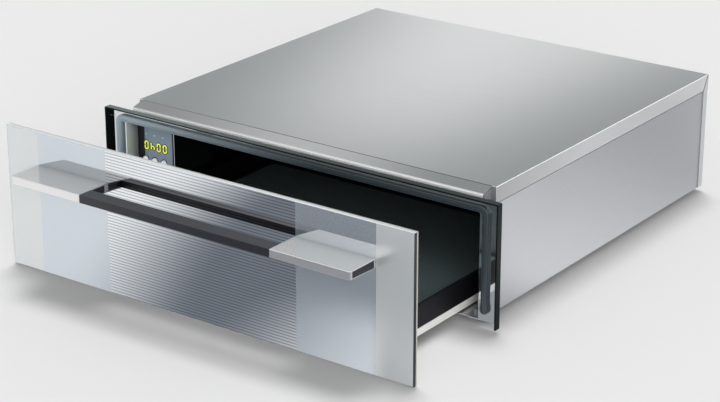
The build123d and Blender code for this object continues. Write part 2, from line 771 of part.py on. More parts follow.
shield_x = module_right + shield_gap
shield = folded([
    (seam - opening_half, module_bottom - shield_gap), (shield_x, module_bottom - shield_gap),
    (shield_x, housing_top)], case_sheet)
save("control_shield", along_y(shield, module_front_y - shield_lead, housing_back))


def button(x):
    """One push button: a domed cap, its stem, and a collar behind the housing's front wall."""
    cap_y = fascia_front - button_proud
    cap = rod_y(x, button_z, cap_y, collar_y, button_radius)
    cap = fillet(cap.edges().group_by(Axis.Y)[0], button_dome)
    cap += rod_y(x, button_z, collar_y, collar_y + button_collar, button_hole + 2 * slip)
    return cap + rod_y(x, button_z, collar_y + button_collar, stem_end_y, button_radius / 2)


for name, x in zip(("button_down", "button_mode", "button_up"), button_x):
    save(name, button(x))

# seven-segment figures that stand a little proud of the fascia
segment_boxes = {
    "a": (0, 1, 1, 1), "g": (0, 1, 0.5, 0.5), "d": (0, 1, 0, 0),
    "f": (0, 0, 0.5, 1), "b": (1, 1, 0.5, 1), "e": (0, 0, 0, 0.5), "c": (1, 1, 0, 0.5)}
figure_segments = ("abcdef", "fegc", "abcdef", "abcdef")


def segment(left, name):
    """One bar of a figure whose left edge is at left, with a hair's gap to its neighbours."""
    u0, u1, v0, v1 = segment_boxes[name]
    run = digit_width - digit_bar
    rise = digit_height - digit_bar
    half = digit_bar / 2
    gap = digit_bar / 2 + seam / 2
    x0, x1 = left + half + u0 * run, left + half + u1 * run
    z0, z1 = digit_bottom + half + v0 * rise, digit_bottom + half + v1 * rise
    if u0 == u1:
        return block(x0 - half, x0 + half, fascia_front - digit_proud, fascia_front, z0 + gap, z1 - gap)
    return block(x0 + seam, x1 - seam, fascia_front - digit_proud, fascia_front, z0 - half, z0 + half)


figures = []
for place, names in enumerate(figure_segments):
    for name in names:
        figures.append(segment(digit_left + place * digit_pitch, name))
save("display_figures", *figures)
icons = []
for i in (-1, 0, 1):
    x = button_middle_x + i * icon_pitch
    icons.append(rod_y(x, icon_z, fascia_front - digit_proud, fascia_front, icon_radius))
save("indicator_lenses", *icons)

# ------------------------------------------------------------------ warm-air unit
mount = folded([(-mount_half, back_y - seam), (-mount_half, mount_front), (mount_half, mount_front),
                (mount_half, back_y - seam)], case_sheet)
mount = extrude(Plane.XY.offset(mount_bottom) * mount, mount_top - mount_bottom)
bearing_radius = shaft_radius + bearing_wall
mount_rear = mount_front + case_sheet
mount -= rod_y(0, fan_z, mount_front - seam, mount_rear + seam, bearing_radius + seam)
leg_x = element_radius * math.sin(math.radians(element_opening))
leg_z = fan_z - element_radius * math.cos(math.radians(element_opening))
for side in (-1, 1):
    mount -= rod_y(side * leg_x, leg_z, mount_front - seam, mount_rear + seam, element_tube + slip)
probe_x = probe_inset - mount_half
probe_z = fan_z + probe_rise
mount -= rod_y(probe_x, probe_z, mount_front - seam, mount_rear + seam, probe_radius + seam)
lug_x = motor_radius + lug_reach / 2
for x in (-lug_x, lug_x):
    mount -= rod_y(x, fan_z, mount_front - seam, mount_rear + seam, screw_shank + seam)
save("fan_mount", mount)

motor_front = mount_rear + seam
motor_rear = motor_front + motor_length
motor = rod_y(0, fan_z, motor_front, motor_rear, motor_radius)
motor = fillet(motor.edges().group_by(Axis.Y)[-1], motor_radius / 5)
motor += rod_y(0, fan_z, motor_front - 2 * case_sheet, motor_front + seam, bearing_radius)
motor += block(-motor_radius - lug_reach, motor_radius + lug_reach, motor_front, motor_front + lug_thick,
               fan_z - lug_reach, fan_z + lug_reach)
motor -= rod_y(0, fan_z, motor_front - 3 * case_sheet, motor_rear - motor_end, shaft_radius + shaft_play)
for x in (-lug_x, lug_x):
    motor -= drilled(x, motor_front + lug_thick, fan_z, (0, -1, 0), lug_thick)
    casing_screws.append(screw(x, motor_front + lug_thick, fan_z, (0, -1, 0), lug_thick + 4 * case_sheet))
save("fan_motor", motor)
save("casing_screws", *casing_screws)
save("fan_shaft", rod_y(0, fan_z, fan_front + shaft_front, motor_rear - shaft_rear, shaft_radius))

wheel = rod_y(0, fan_z, fan_front + fan_depth - wheel_plate, fan_front + fan_depth, fan_radius)
wheel += rod_y(0, fan_z, fan_front, fan_front + fan_depth, fan_hub_radius)
for i in range(fan_blades):
    turn = Pos(0, 0, fan_z) * Rot(0, 360 / fan_blades * i, 0)
    blade = block(blade_inner, fan_radius - blade_tip, fan_front, fan_front + fan_depth,
                  -blade_thick / 2, blade_thick / 2)
    pivot_x = fan_radius - blade_pivot
    blade = Pos(pivot_x, 0, 0) * Rot(0, blade_tilt, 0) * Pos(-pivot_x, 0, 0) * blade
    wheel += turn * blade
wheel = wheel & rod_y(0, fan_z, fan_front, fan_front + fan_depth, fan_radius)
wheel -= rod_y(0, fan_z, fan_front - seam, fan_front + fan_depth + seam, shaft_radius)
save("fan_wheel", wheel)

element_y = fan_front + fan_depth / 2
ring_path = CenterArc((0, 0, 0), element_radius, element_opening - 90, 360 - 2 * element_opening)
ring = Plane(origin=(0, element_y, fan_z), x_dir=(1, 0, 0), z_dir=(0, -1, 0)) * ring_path
ring_wire = Wire(ring.edges())
section = Plane(origin=ring_wire @ 0, z_dir=ring_wire % 0) * Circle(element_tube)
element = sweep(section, path=ring_wire)
for side in (-1, 1):
    element += rod_y(side * leg_x, leg_z, element_y, mount_rear + element_tail, element_tube)
save("heating_element", element)

probe = rod_y(probe_x, probe_z, mount_front - probe_front, mount_rear + probe_tail, probe_radius)
save("air_temperature_probe", fillet(probe.edges().group_by(Axis.Y)[0], probe_radius * 0.6))
cutout_x = mount_half - cutout_inset
cutout_z = fan_z + cutout_rise
cutout_front = mount_rear + seam
cutout_rear = cutout_front + cutout_depth
cutout = rod_y(cutout_x, cutout_z, cutout_front, cutout_rear, cutout_radius)
cutout += block(cutout_x - cutout_radius, cutout_x + cutout_radius, cutout_rear, cutout_rear + cutout_tab,
                cutout_z - cutout_tab_thick / 2, cutout_z + cutout_tab_thick / 2)
save("safety_thermostat", cutout)

terminal_left = gland_x - terminal_shift
terminal_front = back_y - seam - terminal_depth
terminal_top = terminal_bottom + terminal_height
terminal = block(terminal_left, terminal_left + terminal_width, terminal_front, back_y - seam,
                 terminal_bottom, terminal_top)
for i in range(terminal_ways):
    x = terminal_left + terminal_wall + i * terminal_pitch
    terminal -= block(x, x + terminal_pocket, terminal_front - seam, terminal_front + terminal_pocket_depth,
                      terminal_bottom + terminal_lid, terminal_top - terminal_lid)
save("terminal_block", terminal)
gland = rod_y(gland_x, gland_z, back_y - gland_inside, gland_end_y, gland_body)
gland += rod_y(gland_x, gland_z, case_depth + seam, case_depth + gland_rim, gland_flange)
gland = chamfer(gland.edges().group_by(Axis.Y)[-1], gland_chamfer)
gland -= rod_y(gland_x, gland_z, back_y - gland_inside - seam, gland_end_y + seam, gland_bore)
nut_plane = Plane(origin=(gland_x, back_y - seam, gland_z), z_dir=(0, -1, 0))
nut = nut_plane * extrude(RegularPolygon(gland_flange, 6), nut_thick)
nut -= rod_y(gland_x, gland_z, back_y - nut_thick - 2 * seam, back_y, gland_body + seam / 2)
save("cable_gland", gland, nut)

# ------------------------------------------------------------------ drawer contact and guides
contact = block(contact_x - contact_length / 2, contact_x + contact_length / 2, module_front_y,
                module_front_y + contact_depth, base_top + seam, base_top + seam + contact_height)
save("closed_switch", fillet(contact.edges().filter_by(Axis.Z), contact_corner))
save("switch_magnet", block(
    contact_x - magnet_length / 2, contact_x + magnet_length / 2, shell_rear_y, shell_rear_y + magnet_thick,
    shell_bottom + magnet_rise, shell_bottom + magnet_rise + magnet_height))
guide_out = opening_half - guide_gap
guide = block(guide_out - guide_width, guide_out, guide_front, guide_front + guide_length,
              base_top + seam, base_top + seam + guide_height)
save("drawer_guides", *both(chamfer(guide.edges().filter_by(Axis.Z), guide_chamfer)))
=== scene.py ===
"""Looks of a built-in warming drawer that stands part open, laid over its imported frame.

Lengths are metres in the row frame: X along the front, Y from the glass front to the back, Z up. Each
sub-assembly is a class that measures its neighbours in the frame, works its surfaces out as arrays and
dresses them. Each finish is a frozen dataclass that paints one node material.
"""
from __future__ import annotations

import json
import logging
import math
from dataclasses import dataclass
from enum import Enum

import bmesh
import bpy
import numpy as np
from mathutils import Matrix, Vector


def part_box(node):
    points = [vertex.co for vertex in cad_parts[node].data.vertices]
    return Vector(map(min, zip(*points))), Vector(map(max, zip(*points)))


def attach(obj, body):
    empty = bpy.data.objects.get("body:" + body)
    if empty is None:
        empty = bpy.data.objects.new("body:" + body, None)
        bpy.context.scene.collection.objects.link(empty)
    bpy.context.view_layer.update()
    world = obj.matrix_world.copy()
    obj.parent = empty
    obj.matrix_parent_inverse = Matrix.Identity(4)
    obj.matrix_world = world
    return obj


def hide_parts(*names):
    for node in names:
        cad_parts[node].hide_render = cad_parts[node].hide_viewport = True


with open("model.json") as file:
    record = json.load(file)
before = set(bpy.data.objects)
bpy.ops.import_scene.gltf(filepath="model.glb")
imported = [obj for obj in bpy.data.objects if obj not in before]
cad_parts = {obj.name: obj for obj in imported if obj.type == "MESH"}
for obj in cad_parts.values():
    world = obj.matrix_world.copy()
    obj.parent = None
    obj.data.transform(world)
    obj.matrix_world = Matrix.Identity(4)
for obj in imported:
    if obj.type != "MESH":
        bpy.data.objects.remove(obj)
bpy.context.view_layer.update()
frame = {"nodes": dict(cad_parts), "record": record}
log = logging.getLogger("warming_drawer")

Socket = bpy.types.NodeSocket
Colour = tuple[float, ...]
Span = tuple[float, float]


# ---------------------------------------------------------------- colours and node trees
def linear(screen: str) -> Colour:
    """Turns a screen colour into the linear one that shaders take.

    Args:
        screen: six hexadecimal digits after a hash.

    Returns:
        Red, green, blue and an alpha of one.
    """
    parts = np.array([int(screen[i:i + 2], 16) for i in (1, 3, 5)]) / 255
    curve = np.where(parts <= 0.04045, parts / 12.92, ((parts + 0.055) / 1.055) ** 2.4)
    return (*curve.tolist(), 1.0)


def shade(colour: Colour, factor: float) -> Colour:
    """Returns a linear colour made lighter or darker by a factor."""
    return (*[min(1.0, part * factor) for part in colour[:3]], 1.0)


class Axis(Enum):
    """One direction of the row frame."""

    X = 0
    Y = 1
    Z = 2


class Grain(Enum):
    """Which way the rolling or brushing marks of a metal run: how much noise is drawn out each way."""

    ALONG_X = (0.02, 1.0, 1.0)
    ALONG_Y = (1.0, 0.02, 1.0)
    ALONG_Z = (1.0, 1.0, 0.02)
    NONE = (1.0, 1.0, 1.0)


class Pattern:
    """A node tree in which values that vary from place to place are worked out."""

    def __init__(self, tree: bpy.types.NodeTree) -> None:
        """Takes a tree, whose patterns follow Object coordinates."""
        self.nodes = tree.nodes
        self.links = tree.links
        self.coordinates = self.nodes.new("ShaderNodeTexCoord").outputs
        self.place = self.coordinates["Object"]

    def put(self, socket: Socket, value: object) -> None:
        """Gives a socket a link, a constant or a screen colour."""
        if isinstance(value, Socket):
            self.links.new(value, socket)
        else:
            socket.default_value = linear(value) if isinstance(value, str) else value

    def part(self, vector: Socket, axis: Axis) -> Socket:
        """Returns the part of a vector that lies along one axis."""
        split = self.nodes.new("ShaderNodeSeparateXYZ")
        self.links.new(vector, split.inputs[0])
        return split.outputs[axis.value]

    def along(self, axis: Axis) -> Socket:
        """Returns the distance along one axis of the row frame."""
        return self.part(self.place, axis)

    def facing(self, axis: Axis) -> Socket:
        """Returns the part of the surface's own normal that lies along one axis."""
        return self.part(self.coordinates["Normal"], axis)

    def calc(self, operation: str, *values: object, clamp: bool = False) -> Socket:
        """Returns the outcome of one sum.

        Args:
            operation: a Math node's operation.
            values: up to three sockets or numbers.
            clamp: whether the outcome is held between nought and one.
        """
        node = self.nodes.new("ShaderNodeMath")
        node.operation = operation
        node.use_clamp = clamp
        for socket, value in zip(node.inputs, values):
            self.put(socket, value)
        return node.outputs[0]

    def times(self, first: Socket, second: object) -> Socket:
        """Returns a product."""
        return self.calc("MULTIPLY", first, second)

    def rest(self, share: Socket) -> Socket:
        """Returns what a share leaves of one."""
        return self.calc("SUBTRACT", 1.0, share)

    def size(self, value: Socket) -> Socket:
        """Returns a value without its sign."""
        return self.calc("ABSOLUTE", value)

    def most(self, first: Socket, second: Socket, clamp: bool = False) -> Socket:
        """Returns the greater of two values."""
        return self.calc("MAXIMUM", first, second, clamp=clamp)

    def toward(self, share: Socket, first: float, second: float) -> Socket:
        """Returns the number first where share is nought and second where it is one."""
        return self.calc("MULTIPLY_ADD", share, second - first, first)

    def around(self, centre: Socket, middle: float, swing: float) -> Socket:
        """Returns middle where centre is a half, and up to swing more or less away from it."""
        return self.toward(centre, middle - swing, middle + swing)

    def weighed(self, first: Socket, second: Socket, share: float = 0.5) -> Socket:
        """Returns one value times its share, plus another times what is left of one."""
        return self.calc("MULTIPLY_ADD", first, share, self.times(second, 1 - share))

    def rise(self, value: Socket, low: float, high: float) -> Socket:
        """Returns a smooth step: nought below low, one above high."""
        node = self.nodes.new("ShaderNodeMapRange")
        node.interpolation_type = "SMOOTHSTEP"
        self.put(node.inputs["Value"], value)
        node.inputs["From Min"].default_value = low
        node.inputs["From Max"].default_value = high
        return node.outputs["Result"]

    def past(self, axis: Axis, reach: Span) -> Socket:
        """Returns a smooth step along an axis of the row frame, over the whole of a reach."""
        return self.rise(self.along(axis), *reach)

    def band(self, value: Socket, begins: Span, ends: Span) -> Socket:
        """Returns one between two smooth steps, and nought outside them."""
        return self.calc("SUBTRACT", self.rise(value, *begins), self.rise(value, *ends))

    def near(self, value: Socket, line: float, half: float, soft: float = 0.2) -> Socket:
        """Returns one where a value lies within half of a line, fading out over a soft share of half."""
        away = self.size(self.calc("SUBTRACT", value, line))
        return self.rest(self.rise(away, half * (1 - soft), half * (1 + soft)))

    def level(self, axis: Axis, low: float = 0.6, high: float = 0.8) -> Socket:
        """Returns one on faces that look either way along an axis, and nought on the others."""
        return self.rise(self.size(self.facing(axis)), low, high)

    def mitre(self, foot: Span, head: Span) -> Socket:
        """Returns how far behind a slanting line each place lies.

        Args:
            foot: the Y and Z of the line's lower end.
            head: the Y and Z of its upper end.
        """
        slant = (head[0] - foot[0]) / (head[1] - foot[1])
        lean = self.times(self.calc("SUBTRACT", self.along(Axis.Z), foot[1]), slant)
        return self.calc("SUBTRACT", self.calc("SUBTRACT", self.along(Axis.Y), foot[0]), lean)

    def triangle(self, axis: Axis, pitch: float) -> Socket:
        """Returns a triangle wave along an axis: nought and one once in each pitch."""
        turns = self.calc("FRACT", self.times(self.along(axis), 1 / pitch))
        return self.size(self.calc("MULTIPLY_ADD", turns, 2.0, -1.0))

    def noise(self, scale: float, grain: Grain = Grain.NONE, detail: float = 2.0) -> Socket:
        """Returns noise between nought and one, drawn out along the grain.

        Args:
            scale: how many humps there are to a metre, across the grain.
            grain: the direction in which the humps are stretched.
            detail: how many finer layers lie on it.
        """
        stretch = self.nodes.new("ShaderNodeMapping")
        stretch.inputs["Scale"].default_value = grain.value
        self.links.new(self.place, stretch.inputs["Vector"])
        node = self.nodes.new("ShaderNodeTexNoise")
        node.inputs["Scale"].default_value = scale
        node.inputs["Detail"].default_value = detail
        self.links.new(stretch.outputs["Vector"], node.inputs["Vector"])
        return node.outputs["Fac"]

    def cells(self, scale: float) -> Socket:
        """Returns a value that differs from one cell to the next, with scale cells to a metre."""
        node = self.nodes.new("ShaderNodeTexVoronoi")
        node.inputs["Scale"].default_value = scale
        self.links.new(self.place, node.inputs["Vector"])
        split = self.nodes.new("ShaderNodeSeparateColor")
        self.links.new(node.outputs["Color"], split.inputs[0])
        return split.outputs[0]

    def blend(self, share: Socket, first: object, second: object) -> Socket:
        """Returns the colour first where share is nought and second where it is one."""
        node = self.nodes.new("ShaderNodeMix")
        node.data_type = "RGBA"
        for place, value in ((0, share), (6, first), (7, second)):
            self.put(node.inputs[place], value)
        return node.outputs[2]

    def tones(self, share: Socket, tint: Colour, low: float, high: float) -> Socket:
        """Returns a colour, low times as light where share is nought and high times where it is one."""
        return self.blend(share, shade(tint, low), shade(tint, high))

    def mirror_rays(self) -> tuple[Socket, Socket]:
        """Returns one for rays that come off a glossy surface, and one for those that met no matt one."""
        path = self.nodes.new("ShaderNodeLightPath").outputs
        return path["Is Glossy Ray"], self.calc("SUBTRACT", 1.0, path["Diffuse Depth"], clamp=True)

    def mixed(self, share: Socket, first: Socket, second: Socket) -> Socket:
        """Returns one shader where share is nought and the other where it is one."""
        node = self.nodes.new("ShaderNodeMixShader")
        for socket, value in zip(node.inputs, (share, first, second)):
            self.links.new(value, socket)
        return node.outputs[0]


class Recipe(Pattern):
    """A material, built one step at a time round its main shader."""

    def __init__(self, name: str) -> None:
        """Starts a material with its main shader and its Object coordinates."""
        self.material = bpy.data.materials.new(name)
        self.material.use_nodes = True
        super().__init__(self.material.node_tree)
        self.shader = self.nodes["Principled BSDF"]

    def fix(self, **values: object) -> None:
        """Sets sockets of the main shader to constants; an underscore stands for a space."""
        for name, value in values.items():
            self.shader.inputs[name.replace("_", " ")].default_value = value

    def feed(self, **sources: Socket) -> None:
        """Links varying values to sockets of the main shader; an underscore stands for a space."""
        for name, source in sources.items():
            self.links.new(source, self.shader.inputs[name.replace("_", " ")])

    def cover(self, share: Socket, colour: object) -> None:
        """Lays a colour over what the main shader shows so far, where share is one."""
        under = self.shader.inputs["Base Color"].links[0].from_socket
        self.feed(Base_Color=self.blend(share, under, colour))

    def relief(self, height: Socket, distance: float) -> None:
        """Raises the surface by distance where height is one."""
        node = self.nodes.new("ShaderNodeBump")
        node.inputs["Distance"].default_value = distance
        node.inputs["Strength"].default_value = 1.0
        self.links.new(height, node.inputs["Height"])
        self.feed(Normal=node.outputs["Normal"])

    def emission(self, colour: Socket) -> bpy.types.Node:
        """Returns a shader that shines in a varying colour."""
        node = self.nodes.new("ShaderNodeEmission")
        self.links.new(colour, node.inputs["Color"])
        return node

    def show(self, shader: Socket) -> None:
        """Makes a shader the one that the material shows."""
        self.links.new(shader, self.nodes["Material Output"].inputs["Surface"])


# ---------------------------------------------------------------- finishes
@dataclass(frozen=True)
class Finish:
    """What every finish has."""

    name: str
    colour: str
    roughness: float

    def make(self) -> bpy.types.Material:
        """Returns the finish as a material."""
        recipe = Recipe(self.name)
        self.paint(recipe, linear(self.colour))
        return recipe.material

    def paint(self, recipe: Recipe, tint: Colour) -> None:
        """Works the finish out.

        Args:
            recipe: the material that is under way.
            tint: the finish's linear colour.
        """
        raise NotImplementedError


@dataclass(frozen=True)
class SatinMetal(Finish):
    """Rolled, brushed or drawn metal: fine marks along its grain and slow changes of tone."""

    grain: Grain = Grain.ALONG_X
    streak: float = 0.05
    cloud: float = 0.05
    mark_scale: float = 1400.0
    cloud_scale: float = 7.0
    depth: float = 0.000004
    metallic: float = 1.0
    tones: Span = (0.86, 1.14)
    rough_share: float = 0.35

    def paint(self, recipe: Recipe, tint: Colour) -> None:
        """Lets streaks and clouds change the tone, and streaks the roughness."""
        streaks = recipe.noise(self.mark_scale, self.grain, 3.0)
        clouds = recipe.noise(self.cloud_scale, detail=1.0)
        tone = recipe.calc("ADD", recipe.around(streaks, 0.0, 3 * self.streak),
                           recipe.around(clouds, 0.5, 3 * self.cloud), clamp=True)
        recipe.feed(Base_Color=recipe.tones(tone, tint, *self.tones),
                    Roughness=recipe.around(streaks, self.roughness, self.roughness * self.rough_share))
        recipe.fix(Metallic=self.metallic)
        recipe.relief(streaks, self.depth)


@dataclass(frozen=True)
class ZincSheet(Finish):
    """Galvanised sheet: small spangles that differ a little in tone and gloss, and a fine tooth.

    The shares are what spangles, grit and clouds add to its tone.
    """

    spangle: float = 900.0
    contrast: float = 0.05
    grit_scale: float = 2600.0
    cloud_scale: float = 5.0
    shares: tuple[float, float, float] = (0.35, 0.4, 0.25)
    rough_swing: float = 0.08
    depth: float = 0.000012
    metallic: float = 0.85

    def paint(self, recipe: Recipe, tint: Colour) -> None:
        """Lets cells, grit and clouds change the tone, and cells the roughness."""
        cells = recipe.cells(self.spangle)
        grit = recipe.noise(self.grit_scale)
        clouds = recipe.noise(self.cloud_scale, detail=1.0)
        tone = recipe.calc("MULTIPLY_ADD", cells, self.shares[0], recipe.times(grit, self.shares[1]))
        tone = recipe.calc("MULTIPLY_ADD", clouds, self.shares[2], tone, clamp=True)
        recipe.feed(Base_Color=recipe.tones(tone, tint, 1 - 2 * self.contrast, 1 + 2 * self.contrast),
                    Roughness=recipe.around(cells, self.roughness, self.rough_swing))
        recipe.fix(Metallic=self.metallic)
        recipe.relief(grit, self.depth)


@dataclass(frozen=True)
class WrappedSheet(ZincSheet):
    """Galvanised sheet whose strips wrap round the sides, paler there, with a dark joint along their front.

    The joint runs upright to its foot, then slants to its head; both are a Y and a Z.
    """

    foot: Span = (0.36925, 0.1423)
    head: Span = (0.38045, 0.1614)
    joint: float = 0.001
    joint_colour: str = "#2a2e30"
    strip_metallic: float = 0.45
    foot_soft: float = 0.0002

    def paint(self, recipe: Recipe, tint: Colour) -> None:
        """Makes the sides paler, but dark within the joint of their front edge."""
        super().paint(recipe, tint)
        side = recipe.level(Axis.X)
        above = recipe.rise(recipe.along(Axis.Z), self.foot[1] - self.foot_soft, self.foot[1])
        upright = recipe.near(recipe.along(Axis.Y), self.foot[0], self.joint)
        slanting = recipe.near(recipe.mitre(self.foot, self.head), 0.0, self.joint)
        line = recipe.calc("ADD", recipe.times(upright, recipe.rest(above)), recipe.times(slanting, above),
                           clamp=True)
        recipe.cover(recipe.times(line, side), self.joint_colour)
        recipe.feed(Metallic=recipe.toward(side, self.metallic, self.strip_metallic))


@dataclass(frozen=True)
class ShieldSheet(ZincSheet):
    """Galvanised sheet that is enamelled black on the sides that look left and right."""

    enamel: str = "#0a0d0e"

    def paint(self, recipe: Recipe, tint: Colour) -> None:
        """Lets the surface's own direction choose between bare zinc and enamel."""
        super().paint(recipe, tint)
        side = recipe.level(Axis.X)
        recipe.cover(side, self.enamel)
        recipe.feed(Metallic=recipe.toward(side, self.metallic, 0.0))


@dataclass(frozen=True)
class PowderCoat(Finish):
    """Baked paint or enamel: a faint orange peel, fine specks and a slow change of tone."""

    peel: float = 0.000018
    peel_scale: float = 900.0
    speck: float = 0.06
    speck_scale: float = 5200.0
    cloud_scale: float = 9.0
    coat: float = 0.25
    coat_roughness: float = 0.12
    rough_swing: float = 0.07

    def paint(self, recipe: Recipe, tint: Colour) -> None:
        """Lets specks and clouds change the tone, and the peel the surface."""
        peel = recipe.noise(self.peel_scale)
        specks = recipe.noise(self.speck_scale, detail=1.0)
        clouds = recipe.noise(self.cloud_scale, detail=1.0)
        tone = recipe.weighed(specks, clouds)
        recipe.feed(Base_Color=recipe.tones(tone, tint, 1 - 3 * self.speck, 1 + 3 * self.speck),
                    Roughness=recipe.around(peel, self.roughness, self.rough_swing))
        recipe.fix(Coat_Weight=self.coat, Coat_Roughness=self.coat_roughness)
        recipe.relief(peel, self.peel)


@dataclass(frozen=True)
class JointedPaint(PowderCoat):
    """Paint on small plates that meet the cover, dark along the joints at their edges, with painted shadow
    in a wide band under the lip's slope.
    """

    foot: Span = (-0.15175, 0.15804)
    head: Span = (-0.13575, 0.162)
    slope_shadow: float = 0.0035
    outer: float = 0.269
    joint: float = 0.0009
    joint_colour: str = "#15181a"

    def paint(self, recipe: Recipe, tint: Colour) -> None:
        """Paints shadow on side faces under the lip's slope, and darkens the joint on front ones beside the
        flange.
        """
        super().paint(recipe, tint)
        # painted shadow: a dark band on the side faces under the lip
        slope = recipe.near(recipe.mitre(self.foot, self.head), 0.0, self.slope_shadow)
        edge = recipe.near(recipe.size(recipe.along(Axis.X)), self.outer, self.joint)
        line = recipe.most(recipe.times(slope, recipe.level(Axis.X)),
                           recipe.times(edge, recipe.level(Axis.Y)), clamp=True)
        recipe.cover(line, self.joint_colour)


@dataclass(frozen=True)
class Moulding(Finish):
    """Moulded plastic or rubber: a fine spark-eroded grain and a slow change of tone."""

    grain_depth: float = 0.00002
    grain_scale: float = 2400.0
    cloud_scale: float = 30.0
    variation: float = 0.08
    specular: float = 0.5
    sheen: float = 0.0
    rough_swing: float = 0.08

    def paint(self, recipe: Recipe, tint: Colour) -> None:
        """Lets grain change the surface, and grain and clouds the tone."""
        grain = recipe.noise(self.grain_scale, detail=3.0)
        tone = recipe.weighed(grain, recipe.noise(self.cloud_scale))
        recipe.feed(Base_Color=recipe.tones(tone, tint, 1 - 2 * self.variation, 1 + 2 * self.variation),
                    Roughness=recipe.around(grain, self.roughness, self.rough_swing))
        recipe.fix(Specular_IOR_Level=self.specular, Sheen_Weight=self.sheen)
        recipe.relief(grain, self.grain_depth)


@dataclass(frozen=True)
class PaintedLightRubber(Moulding):
    """Seal rubber with painted light and reflection that make it paler the further left."""

    painted_pale: str = "#9fb1bb"
    reach: Span = (-0.3, 0.067)

    def paint(self, recipe: Recipe, tint: Colour) -> None:
        """Lets the place along X choose between the painted pale tone and the rubber's own colour."""
        super().paint(recipe, tint)
        # painted light: the seal is made paler towards its left end
        recipe.cover(recipe.rest(recipe.past(Axis.X, self.reach)), self.painted_pale)


@dataclass(frozen=True)
class PressedWool(Finish):
    """Pressed mineral wool: crossing fibres with small hollows between them."""

    fibre_scale: float = 900.0
    tones: Span = (0.55, 1.2)
    sheen: float = 0.3
    depth: float = 0.0006

    def paint(self, recipe: Recipe, tint: Colour) -> None:
        """Lets two sets of drawn-out noise cross each other."""
        fibres = recipe.most(*(recipe.noise(self.fibre_scale, grain, 3.0)
                               for grain in (Grain.ALONG_X, Grain.ALONG_Y)))
        recipe.feed(Base_Color=recipe.tones(fibres, tint, *self.tones))
        recipe.fix(Roughness=self.roughness, Sheen_Weight=self.sheen)
        recipe.relief(fibres, self.depth)


@dataclass(frozen=True)
class CircuitLaminate(Finish):
    """Circuit board: green varnish over copper tracks that run up and across."""

    track_pitch: float = 0.0022
    patch_scale: float = 160.0
    patch_edge: Span = (0.45, 0.5)
    track_edge: Span = (0.3, 0.6)
    track_tone: float = 2.4
    coat: float = 0.4
    depth: float = 0.00005

    def paint(self, recipe: Recipe, tint: Colour) -> None:
        """Lays lighter tracks where two sine waves meet broken noise."""
        wave = math.tau / self.track_pitch
        across, upward = (recipe.calc("SINE", recipe.times(recipe.along(axis), wave))
                          for axis in (Axis.X, Axis.Z))
        patches = recipe.rise(recipe.noise(self.patch_scale, detail=0.0), *self.patch_edge)
        lines = recipe.most(recipe.times(across, patches), recipe.times(upward, recipe.rest(patches)))
        track = recipe.rise(lines, *self.track_edge)
        recipe.feed(Base_Color=recipe.tones(track, tint, 1.0, self.track_tone))
        recipe.fix(Roughness=self.roughness, Coat_Weight=self.coat)
        recipe.relief(track, self.depth)


@dataclass(frozen=True)
class TemperedSteel(Finish):
    """Steel sheath that heat has tinted straw and blue in patches.

    A patch is the scale of its noise, its detail, and where its soft edge starts and ends.
    """

    straw: str = "#6d5a40"
    straw_patch: tuple[float, float, float, float] = (60.0, 2.0, 0.35, 0.65)
    blue: str = "#3f4657"
    blue_patch: tuple[float, float, float, float] = (35.0, 1.0, 0.5, 0.75)
    metallic: float = 0.9
    grit_scale: float = 3000.0
    depth: float = 0.000008

    def paint(self, recipe: Recipe, tint: Colour) -> None:
        """Lets two noises choose between bare, straw and blue."""
        shown = tint
        patches = ((self.straw, self.straw_patch), (self.blue, self.blue_patch))
        for colour, (scale, detail, *edge) in patches:
            shown = recipe.blend(recipe.rise(recipe.noise(scale, detail=detail), *edge), shown, colour)
        recipe.feed(Base_Color=shown)
        recipe.fix(Metallic=self.metallic, Roughness=self.roughness)
        recipe.relief(recipe.noise(self.grit_scale), self.depth)


@dataclass(frozen=True)
class LitFigure(Finish):
    """Plastic that glows from within, a little unevenly; on the push buttons the glow is painted light."""

    strength: float = 0.75
    patch_scale: float = 400.0
    tones: Span = (0.85, 1.1)

    def paint(self, recipe: Recipe, tint: Colour) -> None:
        """Lets slow noise change the glow."""
        glow = recipe.tones(recipe.noise(self.patch_scale, detail=1.0), tint, *self.tones)
        recipe.feed(Emission_Color=glow, Base_Color=glow)
        recipe.fix(Emission_Strength=self.strength, Roughness=self.roughness)


@dataclass(frozen=True)
class ShadedFascia(Finish):
    """Fascia moulding with a black strip of painted shade down its left side."""

    painted_shade: str = "#15191b"
    painted_shade_width: float = 0.011
    painted_shade_soft: float = 0.00015
    left: float = 0.0
    grain_scale: float = 2600.0
    grain_share: float = 0.4
    cloud_scale: float = 25.0
    tones: Span = (0.88, 1.12)
    coat: float = 0.3
    coat_roughness: float = 0.1
    depth: float = 0.00001

    def paint(self, recipe: Recipe, tint: Colour) -> None:
        """Paints shade black left of the shade's edge, and lays a fine moulded grain all over."""
        grain = recipe.noise(self.grain_scale)
        tone = recipe.weighed(grain, recipe.noise(self.cloud_scale, detail=1.0), self.grain_share)
        edge = self.left + self.painted_shade_width
        # painted shade: black left of an edge down the fascia's left side
        unshaded = recipe.rise(recipe.along(Axis.X), edge - self.painted_shade_soft, edge + self.painted_shade_soft)
        recipe.feed(Base_Color=recipe.blend(unshaded, self.painted_shade, recipe.tones(tone, tint, *self.tones)))
        recipe.fix(Roughness=self.roughness, Coat_Weight=self.coat, Coat_Roughness=self.coat_roughness)
        recipe.relief(grain, self.depth)


